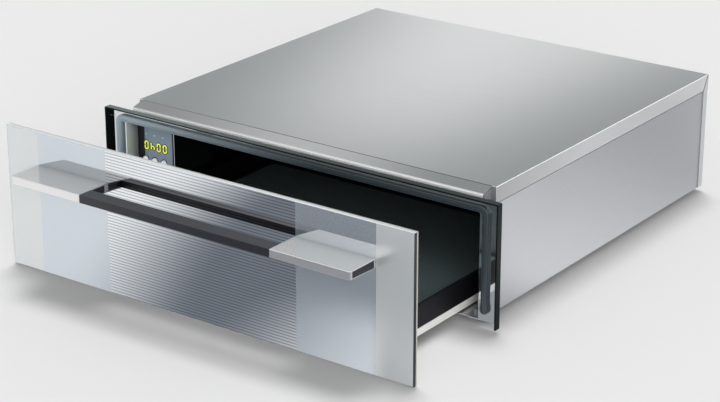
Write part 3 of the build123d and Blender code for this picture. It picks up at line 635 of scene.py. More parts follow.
@dataclass(frozen=True)
class PolishedFrame(Finish):
    """Polished sheet whose front is a mirror and whose returns into the opening are left satin, with
    painted shade deeper in.
    """

    satin: float = 0.5
    satin_tone: float = 1.3
    satin_metallic: float = 0.35
    deep_shade_tone: float = 0.4
    reach: Span = (-0.166, -0.144)
    front_edge: Span = (0.5, 0.9)
    mark_scale: float = 1800.0
    mark_tones: Span = (0.85, 1.15)
    rough_swing: float = 0.03
    depth: float = 0.000001

    def paint(self, recipe: Recipe, tint: Colour) -> None:
        """Lets the sheet's own direction choose between mirror and satin, on which shade is painted deeper
        in.
        """
        front = recipe.level(Axis.Y, *self.front_edge)
        marks = recipe.noise(self.mark_scale, Grain.ALONG_Z, 3.0)
        painted_light = recipe.tones(marks, tint, *(self.satin_tone * tone for tone in self.mark_tones))
        # painted shade: the satin returns darken towards the back of the opening
        deep_shade = recipe.past(Axis.Y, self.reach)
        painted_light = recipe.blend(deep_shade, painted_light, shade(tint, self.satin_tone * self.deep_shade_tone))
        rough = recipe.toward(front, self.satin, self.roughness)
        recipe.feed(Base_Color=recipe.blend(front, painted_light, tint),
                    Roughness=recipe.calc("MULTIPLY_ADD", marks, self.rough_swing, rough),
                    Metallic=recipe.toward(front, self.satin_metallic, 1.0))
        recipe.relief(marks, self.depth)


@dataclass(frozen=True)
class CreasedSheet(SatinMetal):
    """Satin cover with a pressed line where its lip starts, duller flanges, dark joints and painted
    highlights on its hem.

    The joints run along the flange at the foot's height and up a slanting line from the foot to the head,
    both a Y and a Z. Shade is painted along the crease, on the lip darker to the left, and on the flanges'
    fronts; a white highlight is painted on the hem and the rounded side bends.
    """

    crease: float = 0.0
    crease_half: float = 0.0008
    crease_edge: Span = (0.6, 0.8)
    crease_shade_tone: float = 0.35
    lip_soft: float = 0.0006
    lip_shade_tone: float = 0.58
    lip_reach: Span = (-0.25, 0.02)
    foot: Span = (0.36885, 0.1425)
    head: Span = (0.38005, 0.1614)
    joint: float = 0.0007
    joint_colour: str = "#2a2e30"
    flange_metallic: float = 0.42
    flange_reach: Span = (-0.17, 0.12)
    flange_shade_tone: float = 0.62
    # the colour of the painted highlight on the hem and the rounded side bends
    hem: str = "#fbfcfc"
    highlight_metallic: float = 0.1
    front_highlight_facing: Span = (0.7, 0.9)
    bend_highlight_facing: Span = (0.55, 0.35)

    def paint(self, recipe: Recipe, tint: Colour) -> None:
        """Paints shade on the crease, lip and flange fronts, darkens the joints, then paints the hem's
        highlight.
        """
        super().paint(recipe, tint)
        # painted shade: a dark line along the bend where the lip starts
        line = recipe.near(recipe.along(Axis.Y), self.crease, self.crease_half)
        line = recipe.times(line, recipe.rise(recipe.facing(Axis.Z), *self.crease_edge))
        recipe.cover(line, shade(tint, self.crease_shade_tone))
        # painted shade: the lip darker towards the left
        ahead = recipe.rest(recipe.rise(recipe.along(Axis.Y), self.crease - self.lip_soft, self.crease))
        left = recipe.rest(recipe.past(Axis.X, self.lip_reach))
        recipe.cover(recipe.times(ahead, left), shade(tint, self.lip_shade_tone))
        # painted shade: the side flanges darker towards the front
        side = recipe.level(Axis.X)
        before = recipe.rest(recipe.past(Axis.Y, self.flange_reach))
        recipe.cover(recipe.times(side, before), shade(tint, self.flange_shade_tone))
        joints = recipe.most(recipe.near(recipe.along(Axis.Z), self.foot[1], self.joint),
                             recipe.near(recipe.mitre(self.foot, self.head), 0.0, self.joint))
        recipe.cover(recipe.times(joints, side), self.joint_colour)
        # painted highlight: white on the front hem and on the rounded side bends
        hem = recipe.most(recipe.rise(recipe.times(recipe.facing(Axis.Y), -1.0), *self.front_highlight_facing),
                          recipe.near(recipe.size(recipe.facing(Axis.X)), *self.bend_highlight_facing))
        recipe.cover(hem, self.hem)
        recipe.feed(Metallic=recipe.calc("MULTIPLY_ADD", hem, self.highlight_metallic - 1.0,
                                         recipe.toward(side, 1.0, self.flange_metallic), clamp=True))


@dataclass(frozen=True)
class GlossTrim(Finish):
    """Near-black gloss lacquer, with a painted sheen that makes the faces that look up paler.

    The painted sheen is palest at the left end.
    """

    painted_top_sheen: str = "#333e3d"
    painted_top_sheen_left: str = "#72817f"
    reach: Span = (-0.3, 0.1)
    upward: Span = (0.5, 0.9)
    least_sheen: float = 0.6
    dusted: float = 1.6
    specular: float = 0.12
    rough_swing: float = 0.03
    mark_scale: float = 500.0
    depth: float = 0.000001

    def paint(self, recipe: Recipe, tint: Colour) -> None:
        """Lets the surface's own direction and drawn-out noise choose between black and the painted sheen.
        """
        marks = recipe.noise(self.mark_scale, Grain.ALONG_X)
        # painted highlight: the faces that look up are made paler
        painted_light = recipe.times(recipe.rise(recipe.facing(Axis.Z), *self.upward),
                              recipe.toward(marks, self.least_sheen, 1.0))
        # the painted sheen's colour, paler towards the left
        bare = recipe.blend(recipe.past(Axis.X, self.reach), self.painted_top_sheen_left, self.painted_top_sheen)
        recipe.feed(Base_Color=recipe.blend(painted_light, recipe.tones(marks, tint, 1.0, self.dusted), bare),
                    Roughness=recipe.around(marks, self.roughness, self.rough_swing))
        recipe.fix(Specular_IOR_Level=self.specular)
        recipe.relief(marks, self.depth)


@dataclass(frozen=True)
class GroundEdge(Finish):
    """Bevelled edge of the glass: a painted white highlight where it looks up or down, dark green where it
    looks sideways.
    """

    side: str = "#39403f"
    highlight_level: Span = (0.15, 0.35)
    mark_scale: float = 2500.0
    highlight_tones: Span = (0.95, 1.0)
    side_tones: Span = (1.0, 1.3)
    rough_swing: float = 0.05
    metallic: float = 0.4

    def paint(self, recipe: Recipe, tint: Colour) -> None:
        """Lets the bevel's own direction choose between the dark green and the painted highlight, crossed
        by grinding marks.
        """
        marks = recipe.noise(self.mark_scale)
        # painted highlight: the faces that look up or down take the pale colour
        recipe.feed(Base_Color=recipe.blend(recipe.level(Axis.Z, *self.highlight_level),
                                            recipe.tones(marks, linear(self.side), *self.side_tones),
                                            recipe.tones(marks, tint, *self.highlight_tones)),
                    Roughness=recipe.around(marks, self.roughness, self.rough_swing))
        recipe.fix(Metallic=self.metallic)


@dataclass(frozen=True)
class WovenRubber(Finish):
    """Anti-slip rubber: fine cross grooves between its ribs, with painted light that makes it paler near
    its front and painted shade that darkens it to the rear.
    """

    groove_pitch: float = 0.004
    groove_edge: Span = (0.12, 0.4)
    land_share: float = 0.6
    grain_scale: float = 1800.0
    grain_depth: float = 0.15
    depth: float = 0.0004
    tones: Span = (0.5, 1.25)
    rough_swing: float = 0.1
    painted_light: float = 1.3
    rear_shade: float = 0.58
    reach: Span = (-0.15, -0.02)

    def paint(self, recipe: Recipe, tint: Colour) -> None:
        """Cuts the grooves with a triangle wave along X, and roughens them with noise."""
        land = recipe.rise(recipe.triangle(Axis.X, self.groove_pitch), *self.groove_edge)
        grain = recipe.noise(self.grain_scale, detail=3.0)
        tone = recipe.weighed(land, grain, self.land_share)
        # painted light and shade: lighter towards the front, darker towards the rear under the casing
        front, rear = (recipe.tones(tone, tint, *(factor * end for end in self.tones))
                       for factor in (self.painted_light, self.rear_shade))
        recipe.feed(Base_Color=recipe.blend(recipe.past(Axis.Y, self.reach), front, rear),
                    Roughness=recipe.around(grain, self.roughness, self.rough_swing))
        recipe.relief(recipe.calc("MULTIPLY_ADD", grain, self.grain_depth, land), self.depth)


@dataclass(frozen=True)
class PrintedMirror(Finish):
    """Glass over a mirrored print: a tinted reflection, with a fine unevenness of the print."""

    coat: float = 0.3
    metallic: float = 0.85
    mottle_scale: float = 1200.0
    tones: Span = (0.985, 1.015)
    rough_share: float = 0.05
    glass_ior: float = 1.52

    def toned(self, recipe: Recipe, tint: Colour, mottle: Socket) -> Socket:
        """Returns the print's colour: here its tint, as uneven as the mottle."""
        return recipe.tones(mottle, tint, *self.tones)

    def paint(self, recipe: Recipe, tint: Colour) -> None:
        """Lays the print under its layer of clear glass."""
        mottle = recipe.noise(self.mottle_scale)
        recipe.feed(Base_Color=self.toned(recipe, tint, mottle),
                    Roughness=recipe.around(mottle, self.roughness, self.roughness * self.rough_share))
        recipe.fix(Metallic=self.metallic, Coat_Weight=self.coat, Coat_Roughness=0.0,
                   Coat_IOR=self.glass_ior)


@dataclass(frozen=True)
class StripedMirror(PrintedMirror):
    """Mirrored print in level stripes: wide pale ones, with soft-edged darker lines between them."""

    line: str = "#bcc6d3"
    pitch: float = 0.00368
    line_share: float = 0.36
    softness: float = 0.24
    rough_share: float = 0.1

    def toned(self, recipe: Recipe, tint: Colour, mottle: Socket) -> Socket:
        """Returns the stripes: a triangle wave of the height, cut with soft edges."""
        share = recipe.rise(recipe.triangle(Axis.Z, self.pitch), self.line_share - self.softness,
                            self.line_share + self.softness)
        return recipe.blend(share, self.line, tint)


# The finishes that CAD nodes take, by the record's material slot.
SLOT_FINISHES: dict[str, Finish] = {finish.name: finish for finish in (
    PrintedMirror("front_glass", "#c9d2dc", 0.03),
    PowderCoat("backing_steel", "#c9c6bf", 0.4),
    SatinMetal("handle_aluminium", "#fafaf8", 0.2, streak=0.02, cloud=0.01, mark_scale=5000.0,
               depth=0.0000004, metallic=0.84),
    Moulding("handle_dark", "#292a31", 0.3, grain_depth=0.000006),
    SatinMetal("fastener_zinc", "#b9bcbe", 0.3, Grain.NONE),
    ZincSheet("galvanised_sheet", "#dcdee1", 0.4),
    PressedWool("mineral_wool", "#c9c09c", 0.95),
    PowderCoat("tray_paint", "#0f0f14", 0.55, coat=0.0),
    WovenRubber("mat_rubber", "#687677", 0.42),
    PowderCoat("rail_paint", "#fbfaf6", 0.35, speck=0.01),
    SatinMetal("runner_zinc", "#b7babd", 0.28, Grain.ALONG_Y),
    Moulding("buffer_rubber", "#232424", 0.7, grain_depth=0.00004),
    Moulding("magnet_ferrite", "#2b2b2c", 0.55, grain_depth=0.00005),
    Moulding("black_plastic", "#1b1c1e", 0.45),
    Moulding("guide_plastic", "#6f7576", 0.4),
    PolishedFrame("frame_polished", "#dfe4e6", 0.05),
    GlossTrim("trim_gloss", "#0d1313", 0.12),
    Moulding("seal_rubber", "#5d6c75", 0.4, grain_depth=0.00001, sheen=0.1),
    CreasedSheet("cover_steel", "#e4e5e6", 0.2, streak=0.015, cloud=0.01, depth=0.0000006, crease=-0.13575),
    JointedPaint("gusset_grey", "#84878b", 0.5),
    PowderCoat("liner_enamel", "#0d1010", 0.3, peel=0.00003),
    # its finish paints a black strip of shade down the fascia's left side
    ShadedFascia("fascia_plastic", "#98abbd", 0.4, left=-0.2659),
    CircuitLaminate("board_green", "#1d5a36", 0.35),
    # the push buttons glow too: painted light that keeps them white in the shade of the opening
    LitFigure("button_white", "#f4f7f8", 0.22, strength=0.3),
    LitFigure("display_lit", "#e3ec50", 0.4),
    LitFigure("lens_clear", "#c9d6e2", 0.2, strength=0.15),
    SatinMetal("motor_steel", "#8d9093", 0.4, Grain.ALONG_Y),
    SatinMetal("fan_aluminium", "#b4b6b8", 0.4, Grain.NONE),
    TemperedSteel("element_steel", "#77746f", 0.35),
    Moulding("terminal_plastic", "#d8d3c4", 0.5, variation=0.03),
)}

# The finishes of nodes that look otherwise than the rest of their slot.
NODE_FINISHES: dict[str, Finish] = {
    "back_panel": WrappedSheet("wrapped_sheet", "#dcdee1", 0.4),
    "control_shield": ShieldSheet("shield_sheet", "#dcdee1", 0.4),
}


# ---------------------------------------------------------------- meshes
def lattice(rows: int, columns: int, close_rows: bool = False, close_columns: bool = False) -> np.ndarray:
    """Joins the points of a grid into four-sided faces.

    Args:
        rows: how many rows of points there are.
        columns: how many points a row holds.
        close_rows: whether the last row joins the first.
        close_columns: whether the last column joins the first.

    Returns:
        An array of faces, four point numbers each.
    """
    first = np.arange(rows if close_rows else rows - 1)[:, None]
    second = np.arange(columns if close_columns else columns - 1)[None, :]
    here, up = first * columns, (first + 1) % rows * columns
    next_column = (second + 1) % columns
    quads = np.stack([here + second, here + next_column, up + next_column, up + second], axis=-1)
    return quads.reshape(-1, 4)


def tube(rows: int, around: int, start: int = 0) -> list[list[int]]:
    """Joins rings of points into a tube and closes both its ends.

    Args:
        rows: how many rings there are.
        around: how many points a ring holds.
        start: the number of the first point.

    Returns:
        The faces, as lists of point numbers.
    """
    last = start + (rows - 1) * around
    ends = [list(range(start, start + around))[::-1], list(range(last, last + around))]
    return (lattice(rows, around, close_columns=True) + start).tolist() + ends


def corners_of(node: str) -> tuple[np.ndarray, np.ndarray]:
    """Returns the lowest and the highest corner of a CAD node's box."""
    low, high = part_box(node)
    return np.array(low), np.array(high)


def smooth(value: np.ndarray, low: float, high: float) -> np.ndarray:
    """Returns a smooth step: nought below low, one above high, three squares less two cubes between."""
    share = np.clip((value - low) / (high - low), 0.0, 1.0)
    return share * share * (3 - 2 * share)


def make_piece(name: str, points: np.ndarray, faces: list, finishes: tuple[Finish, ...], body: str,
               slot: str, replaces: tuple[str, ...] = (), kinds: np.ndarray | None = None,
               crease: float = math.radians(35)) -> None:
    """Makes one finished piece at the origin, dresses it and hands it to its body.

    Args:
        name: the piece's name.
        points: its points, three numbers each.
        faces: its faces, as rows of point numbers.
        finishes: its finishes.
        body: the body that it rides on.
        slot: not used.
        replaces: the CAD nodes that it stands for.
        kinds: which finish each face takes; the first if left out.
        crease: the angle past which an edge stays sharp.
    """
    mesh = bpy.data.meshes.new(name)
    mesh.from_pydata(np.asarray(points).reshape(-1, 3).tolist(), [], faces)
    for finish in finishes:
        mesh.materials.append(finish.make())
    if kinds is not None:
        mesh.polygons.foreach_set("material_index", np.asarray(kinds, np.int32))
    piece = bpy.data.objects.new(name, mesh)
    bpy.context.scene.collection.objects.link(piece)
    solid = bmesh.new()
    solid.from_mesh(mesh)
    bmesh.ops.recalc_face_normals(solid, faces=solid.faces)
    solid.to_mesh(mesh)
    solid.free()
    mesh.shade_smooth()
    mesh.set_sharp_from_angle(angle=crease)
    mesh.validate()
    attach(piece, body)
    if replaces:
        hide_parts(*replaces)
    log.info("%s: %d faces on %s", name, len(mesh.polygons), body)


# ---------------------------------------------------------------- glass front
@dataclass
class GlassPane:
    """The toughened glass of the front, with a print of mirrored bands on its back."""

    blue_from: float = 0.1395
    silver_from: float = 0.2485
    arris: float = 0.0007
    arris_steps: int = 4
    # the pale colours of the two ground edges are painted highlights
    front_arris: Finish = GroundEdge("glass_front_arris", "#f4f8fa", 0.12)
    ground_edge: Finish = GroundEdge("glass_ground_edge", "#e9f1f5", 0.3, side="#343a3a")
    rear_arris: Finish = SatinMetal("glass_rear_arris", "#f2efe8", 0.3, Grain.NONE, metallic=0.3)
    silver: Finish = PrintedMirror("glass_silver", "#e6eaeb", 0.26, coat=0.1, metallic=0.62)
    blue: Finish = PrintedMirror("glass_blue", "#dbe3ea", 0.03, metallic=0.8)
    stripes: Finish = StripedMirror("glass_stripes", "#fdfefe", 0.04, metallic=1.0)

    def rings(self) -> np.ndarray:
        """Returns the rings of points from the front face back to the rear one.

        A ring goes round the pane, with a point at each band's edge. It steps out from the front face
        along a quarter circle, runs back, and steps in again along another quarter circle.
        """
        low, high = corners_of("glass_front")
        turn = np.linspace(0, math.pi / 2, self.arris_steps + 1)
        inset = self.arris * np.concatenate([1 - np.sin(turn), 1 - np.cos(turn)])[:, None]
        depth = np.concatenate([low[1] + self.arris * (1 - np.cos(turn)),
                                high[1] - self.arris * (1 - np.sin(turn))])[:, None]
        across = np.array([low[0], -self.silver_from, -self.blue_from,
                           self.blue_from, self.silver_from, high[0]])
        out = np.array([1.0, 0.0, 0.0, 0.0, 0.0, -1.0])
        foot = np.stack(np.broadcast_arrays(across + out * inset, depth, low[2] + inset), axis=-1)
        head = np.stack(np.broadcast_arrays(foot[..., 0], depth, high[2] - inset), axis=-1)
        return np.concatenate([foot, head[:, ::-1]], axis=1)

    def build(self) -> None:
        """Makes the pane: five front faces in their bands, and three finishes across the edge."""
        rings = self.rings()
        count, around = rings.shape[:2]
        half = around // 2
        front = [[i, i + 1, around - 2 - i, around - 1 - i] for i in range(half - 1)]
        last = (count - 1) * around
        rear = [[last + j for j in reversed(face)] for face in front]
        faces = lattice(count, around, close_columns=True)[:, ::-1].tolist() + front + rear
        row = np.repeat(np.arange(count - 1), around)
        rim = np.where(row < self.arris_steps, 3, np.where(row == self.arris_steps, 4, 5))
        kinds = np.concatenate([rim, [0, 1, 2, 1, 0], np.full(len(rear), 5)])
        finishes = (self.silver, self.blue, self.stripes,
                    self.front_arris, self.ground_edge, self.rear_arris)
        make_piece("front_glass_pane", rings, faces, finishes, "drawer", "front_glass",
                   ("glass_front",), kinds)


# ---------------------------------------------------------------- seal and mat
@dataclass
class DoorSeal:
    """The rubber seal round the opening: a flat-faced bead with one groove, and thick rounded ends."""

    seat: float = 0.0105
    seat_bulb: float = 0.0068
    width: float = 0.0087
    height: float = 0.0046
    corner: float = 0.00675
    bulb: float = 0.0056
    flare: float = 0.010
    swell_from: float = 0.002
    edge: float = 0.0018
    edge_rows: int = 6
    groove_at: float = -0.42
    groove_half: float = 0.0005
    groove_deep: float = 0.0009
    tip_turn: float = 0.08
    flare_from: float = 0.1
    leg_step: float = 0.002
    end_rows: int = 8
    leg_rows: int = 40
    corner_rows: int = 10
    # its finish paints light on the seal, paler towards the left
    finish: Finish = PaintedLightRubber("seal_bead", "#353f45", 0.3, grain_depth=0.000006, specular=1.0)

    def path(self) -> tuple[np.ndarray, np.ndarray, np.ndarray]:
        """Returns the centre line, its outward directions and how far each point is from the nearer end.

        The line goes up the left leg, round a quarter circle, across the top, round another quarter circle
        and down the right leg. The legs' points lie closer together near their ends.
        """
        low, high = corners_of("door_seal")
        half = high[0] - self.seat_bulb
        top = high[2] - self.seat / 2
        foot = low[2] + self.seat_bulb
        tip = -self.bulb * np.cos(np.linspace(self.tip_turn, math.pi / 2, self.end_rows))
        leg = np.concatenate([tip, self.flare * np.linspace(self.flare_from, 1.0, self.end_rows)])
        straight = np.linspace(leg[-1] + self.leg_step, top - self.corner - foot, self.leg_rows)
        rise = foot + np.concatenate([leg, straight])
        turn = np.linspace(0, math.pi / 2, self.corner_rows + 1)[1:]
        left = np.concatenate([np.full(rise.size, -half), -half + self.corner * (1 - np.cos(turn))])
        height = np.concatenate([rise, top - self.corner + self.corner * np.sin(turn)])
        out_x = np.concatenate([np.full(rise.size, -1.0), -np.cos(turn)])
        out_z = np.concatenate([np.zeros(rise.size), np.sin(turn)])
        flat = np.zeros(2 * height.size)
        centres = np.stack([np.concatenate([left, -left[::-1]]), flat + high[1],
                            np.concatenate([height, height[::-1]])], axis=1)
        outward = np.stack([np.concatenate([out_x, -out_x[::-1]]), flat,
                            np.concatenate([out_z, out_z[::-1]])], axis=1)
        return centres, outward, centres[:, 2] - foot

    def profile(self) -> np.ndarray:
        """Returns the bead's outline, in shares of its half-width and of its height above its sheet.

        Quarter circles round its two front edges, and a triangular groove lies in its face.
        """
        half, height = self.width / 2, self.height
        turn = np.linspace(0, math.pi / 2, self.edge_rows)
        right = np.stack([half - self.edge * (1 - np.cos(turn)),
                          height - self.edge * (1 - np.sin(turn))], axis=1)
        middle = self.groove_at * half
        groove = np.array([[middle + self.groove_half, height], [middle, height - self.groove_deep],
                           [middle - self.groove_half, height]])
        left = right[::-1] * [-1.0, 1.0]
        return np.concatenate([[[half, 0.0]], right, groove, left, [[-half, 0.0]]]) / [half, height]

    def build(self) -> None:
        """Makes the seal: its width swells near the ends and closes in a half circle.

        Each point is its centre, plus the outward direction by the profile's first number times the width
        there, plus the forward direction by the second number times the height there.
        """
        centres, outward, along = self.path()
        half = self.width / 2
        swollen = half + (self.bulb - half) * (1 - smooth(along, self.swell_from, self.flare))
        closing = np.sqrt(np.clip(self.bulb ** 2 - np.minimum(along, 0.0) ** 2, 0.0, None))
        widths = np.minimum(swollen, closing)
        heights = self.height * (0.5 + 0.5 * np.sqrt(np.clip(widths / swollen, 0.0, 1.0)))
        profile = self.profile()
        across = outward[:, None] * (profile[None, :, :1] * widths[:, None, None])
        rise = np.array([0.0, -1.0, 0.0]) * (profile[None, :, 1:] * heights[:, None, None])
        make_piece("seal_bead", centres[:, None] + across + rise, tube(len(centres), len(profile)),
                   (self.finish,), "casing", "seal_rubber", ("door_seal",))


@dataclass
class RibbedMat:
    """The anti-slip mat: low round ribs across the tray, and rounded corners."""

    rib_pitch: float = 0.0043
    rib_height: float = 0.0008
    corner: float = 0.008
    rows_in_rib: int = 6
    sharp_from: float = 60.0

    def build(self) -> None:
        """Makes the mat: its height is that of a lifted sine wave along the depth of the tray."""
        low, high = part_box("anti_slip_mat")
        depth = high[1] - low[1]
        ribs = round(depth / self.rib_pitch)
        back = np.linspace(low[1], high[1], ribs * self.rows_in_rib + 1)
        wave = 0.5 - 0.5 * np.cos(math.tau * ribs * (back - low[1]) / depth)
        top = high[2] - self.rib_height * (1 - wave)
        near_end = np.clip(self.corner - np.minimum(back - low[1], high[1] - back), 0.0, self.corner)
        half = high[0] - self.corner + np.sqrt(self.corner ** 2 - near_end ** 2)
        foot = np.full(back.size, low[2])
        points = np.array([[-half, half, half, -half], [back] * 4, [foot, foot, top, top]])
        make_piece("ribbed_mat", points.transpose(2, 1, 0), tube(back.size, 4),
                   (SLOT_FINISHES["mat_rubber"],), "drawer", "mat_rubber", ("anti_slip_mat",),
                   crease=math.radians(self.sharp_from))


# ---------------------------------------------------------------- corners of the cover
@dataclass
class LipCorners:
    """The small webs that close the corners between the gussets and the cover's side flanges."""

    reach: float = 0.0061
    thick: float = 0.0008
    hem: float = 0.0012
    steps: int = 6
    under_cover: float = 0.0012
    over_gusset: float = 0.0011
    inside: float = 0.0001

    def profile(self, low: np.ndarray, high: np.ndarray) -> np.ndarray:
        """Returns a web's outline as Y and Z: upright, with a lower edge that rolls forward.

        The roll is a quarter circle, and the outline comes back down its front at the web's thickness.
        """
        turn = np.linspace(0, math.pi / 2, self.steps)
        outer_y = np.append(high[1] - self.hem * (1 - np.sin(turn)), high[1])
        outer_z = np.append(low[2] + self.over_gusset + self.hem * (1 - np.cos(turn)),
                            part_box("top_cover")[1][2] - self.under_cover)
        raised = outer_z + self.thick * np.append(np.cos(turn), 0.0)
        return np.concatenate([np.stack([outer_y, outer_z], axis=1),
                               np.stack([outer_y - self.thick, raised], axis=1)[::-1]])

    def build(self) -> None:
        """Makes both webs, each its outline drawn out along X."""
        low, high = corners_of("corner_gussets")
        profile = self.profile(low, high)
        count = len(profile)
        across = np.array([high[0] - self.reach, high[0] - self.inside])
        across = np.repeat(np.array([-across, across])[..., None], count, axis=2)
        points = np.stack(np.broadcast_arrays(across, profile[:, 0], profile[:, 1]), axis=-1)
        make_piece("lip_corner_webs", points, tube(2, count) + tube(2, count, 2 * count),
                   (SLOT_FINISHES["gusset_grey"],), "casing", "gusset_grey")


# ---------------------------------------------------------------- display and buttons
class Bar(Enum):
    """One bar of a seven-segment figure: where its middle line starts and ends, in shares of the figure."""

    TOP = (0.0, 1.0, 1.0, 1.0)
    MIDDLE = (0.0, 0.5, 1.0, 0.5)
    BOTTOM = (0.0, 0.0, 1.0, 0.0)
    UPPER_LEFT = (0.0, 0.5, 0.0, 1.0)
    UPPER_RIGHT = (1.0, 0.5, 1.0, 1.0)
    LOWER_LEFT = (0.0, 0.0, 0.0, 0.5)
    LOWER_RIGHT = (1.0, 0.0, 1.0, 0.5)


ZERO = (Bar.TOP, Bar.UPPER_RIGHT, Bar.LOWER_RIGHT, Bar.BOTTOM, Bar.LOWER_LEFT, Bar.UPPER_LEFT)
HOURS = (Bar.UPPER_LEFT, Bar.MIDDLE, Bar.LOWER_LEFT, Bar.LOWER_RIGHT)


@dataclass
class LitDisplay:
    """The lit time figures, each bar pointed at both ends, on a dark print that outlines them."""

    figures: tuple[tuple[Bar, ...], ...] = (ZERO, HOURS, ZERO, ZERO)
    figure_width: float = 0.0066
    figure_pitch: float = 0.0101
    stroke: float = 0.0017
    joint: float = 0.00012
    outline: float = 0.0013
    print_thick: float = 0.00012
    print_finish: Finish = Moulding("figure_outline", "#141a12", 0.35, grain_depth=0.000004)

    def bars(self, grow: float) -> np.ndarray:
        """Returns each bar's outline: a long hexagon round its middle line, grown on all sides."""
        low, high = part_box("display_figures")
        half = self.stroke / 2
        run, rise = self.figure_width - self.stroke, high[2] - low[2] - self.stroke
        placed = [(place, bar.value) for place, figure in enumerate(self.figures) for bar in figure]
        start = np.array([[low[0] + half + place * self.figure_pitch, low[2] + half]
                          for place, _ in placed])
        shares = np.array([value for _, value in placed]).reshape(-1, 2, 2)
        ends = start[:, None] + shares * [run, rise]
        length = np.linalg.norm(ends[:, 1] - ends[:, 0], axis=1)[:, None]
        along = (ends[:, 1] - ends[:, 0]) / length
        aside = np.stack([-along[:, 1], along[:, 0]], axis=1)
        wide = half + grow
        tip = self.joint - grow
        steps = np.array([[tip, 0.0], [tip + wide, 1.0], [-tip - wide, 1.0],
                          [-tip, 0.0], [-tip - wide, -1.0], [tip + wide, -1.0]])
        reach = steps[:, 0] + np.array([0.0, 0.0, 1.0, 1.0, 1.0, 0.0]) * length
        return (ends[:, :1] + along[:, None] * reach[..., None]
                + aside[:, None] * (wide * steps[:, 1])[None, :, None])

    def plates(self, outlines: np.ndarray, back: float, front: float) -> tuple[np.ndarray, list]:
        """Gives each outline its thickness, from back to front.

        Args:
            outlines: the outlines' points, as X and Z.
            back: the Y of the plates' backs.
            front: the Y of their fronts.

        Returns:
            The points and the faces.
        """
        count, corners = outlines.shape[:2]
        depth = np.array([back, front])[None, :, None]
        flat = outlines[:, None]
        points = np.stack(np.broadcast_arrays(flat[..., 0], depth, flat[..., 1]), axis=-1)
        return points, [face for place in range(count) for face in tube(2, corners, place * 2 * corners)]

    def build(self) -> None:
        """Makes the dark print and the lit bars on it."""
        front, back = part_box("display_figures")[0][1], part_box("control_fascia")[0][1]
        make_piece("figure_outline", *self.plates(self.bars(self.outline), back, back - self.print_thick),
                   (self.print_finish,), "casing", "fascia_plastic")
        make_piece("time_figures", *self.plates(self.bars(0.0), back, front),
                   (SLOT_FINISHES["display_lit"],), "casing", "display_lit", ("display_figures",))


@dataclass
class ButtonRings:
    """The dark raised rings round the three push buttons."""

    inner: float = 0.0042
    outer: float = 0.0052
    proud: float = 0.0007
    around: int = 48
    rows: int = 9
    finish: Finish = Moulding("button_ring", "#15191a", 0.3, grain_depth=0.000004)

    def build(self) -> None:
        """Makes the rings: a half circle turned round each button's middle."""
        turn = np.linspace(0, math.pi, self.rows)
        radius = (self.inner + self.outer) / 2 - (self.outer - self.inner) / 2 * np.cos(turn)
        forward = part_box("control_fascia")[0][1] - self.proud * np.sin(turn)
        angle = np.linspace(0, math.tau, self.around, endpoint=False)[:, None]
        points, faces = [], []
        for place, button in enumerate(("button_down", "button_mode", "button_up")):
            middle = sum(corners_of(button)) / 2
            points.append(np.stack(np.broadcast_arrays(middle[0] + radius * np.cos(angle), forward,
                                                       middle[2] + radius * np.sin(angle)), axis=-1))
            faces += (lattice(self.around, self.rows, True, True)
                      + place * self.around * self.rows).tolist()
        make_piece("button_rings", np.array(points), faces, (self.finish,), "casing", "fascia_plastic")


# ---------------------------------------------------------------- stage, light and camera
@dataclass(frozen=True)
class MirroredFloor(Finish):
    """The pale floor: it takes shadows, and mirrors see on it the pale and dark parts of a room.

    Edges are where a soft edge starts and ends, along X across or along Y in depth; what an edge slants by
    is how far its X moves for each metre of Y.
    """

    dark: Colour = (0.165, 0.18, 0.205, 1.0)
    left_slant: float = -0.53
    left_edge: Span = (-0.0465, 0.1685)
    right_across: Span = (0.0, 0.28)
    right_depth: Span = (-0.56, -0.4)
    fade_across: Span = (0.2, 0.3)
    fade_depth: Span = (-0.05, 0.75)
    faded_to: float = 0.15
    strip: tuple[Span, Span] = ((-0.35, -0.31), (-0.12, 0.02))
    patch_slant: float = -0.73
    patch_edge: Span = (0.485, 0.515)
    patch_depth: tuple[Span, Span] = ((-0.8, -0.56), (-0.34, -0.33))
    greyed_to: float = 0.3
    far_front: Span = (1.1, 1.6)

    def brightness(self, recipe: Recipe) -> Socket:
        """Returns how far mirrors see the floor pale.

        It is pale left of a slanting edge, far out in front, and at the right. There it fades slowly to the
        rear, and is greyer in a strip before the cabinet and in a patch beyond a second slanting edge.
        """
        across, back = recipe.along(Axis.X), recipe.along(Axis.Y)
        slant = recipe.calc("MULTIPLY_ADD", back, self.left_slant, across)
        left = recipe.rest(recipe.rise(slant, *self.left_edge))
        right = recipe.times(recipe.rise(across, *self.right_across), recipe.rise(back, *self.right_depth))
        fade = recipe.times(recipe.rise(across, *self.fade_across), recipe.rise(back, *self.fade_depth))
        aside = recipe.rise(recipe.calc("MULTIPLY_ADD", back, self.patch_slant, across), *self.patch_edge)
        patch = recipe.times(recipe.band(back, *self.patch_depth), aside)
        for part, remainder in ((fade, self.faded_to), (recipe.band(back, *self.strip), self.greyed_to),
                                (patch, self.greyed_to)):
            right = recipe.times(right, recipe.toward(part, 1.0, remainder))
        front = recipe.rise(recipe.times(back, -1.0), *self.far_front)
        return recipe.most(recipe.most(left, right), front, clamp=True)

    def paint(self, recipe: Recipe, tint: Colour) -> None:
        """Lights the floor as matt paint, and lets it shine by itself for rays that come from mirrors."""
        recipe.fix(Base_Color=tint, Roughness=self.roughness, Specular_IOR_Level=0.0)
        mirrored = recipe.emission(recipe.blend(self.brightness(recipe), self.dark, tint))
        glossy, direct = recipe.mirror_rays()
        recipe.links.new(direct, mirrored.inputs["Strength"])
        recipe.show(recipe.mixed(glossy, recipe.shader.outputs[0], mirrored.outputs[0]))


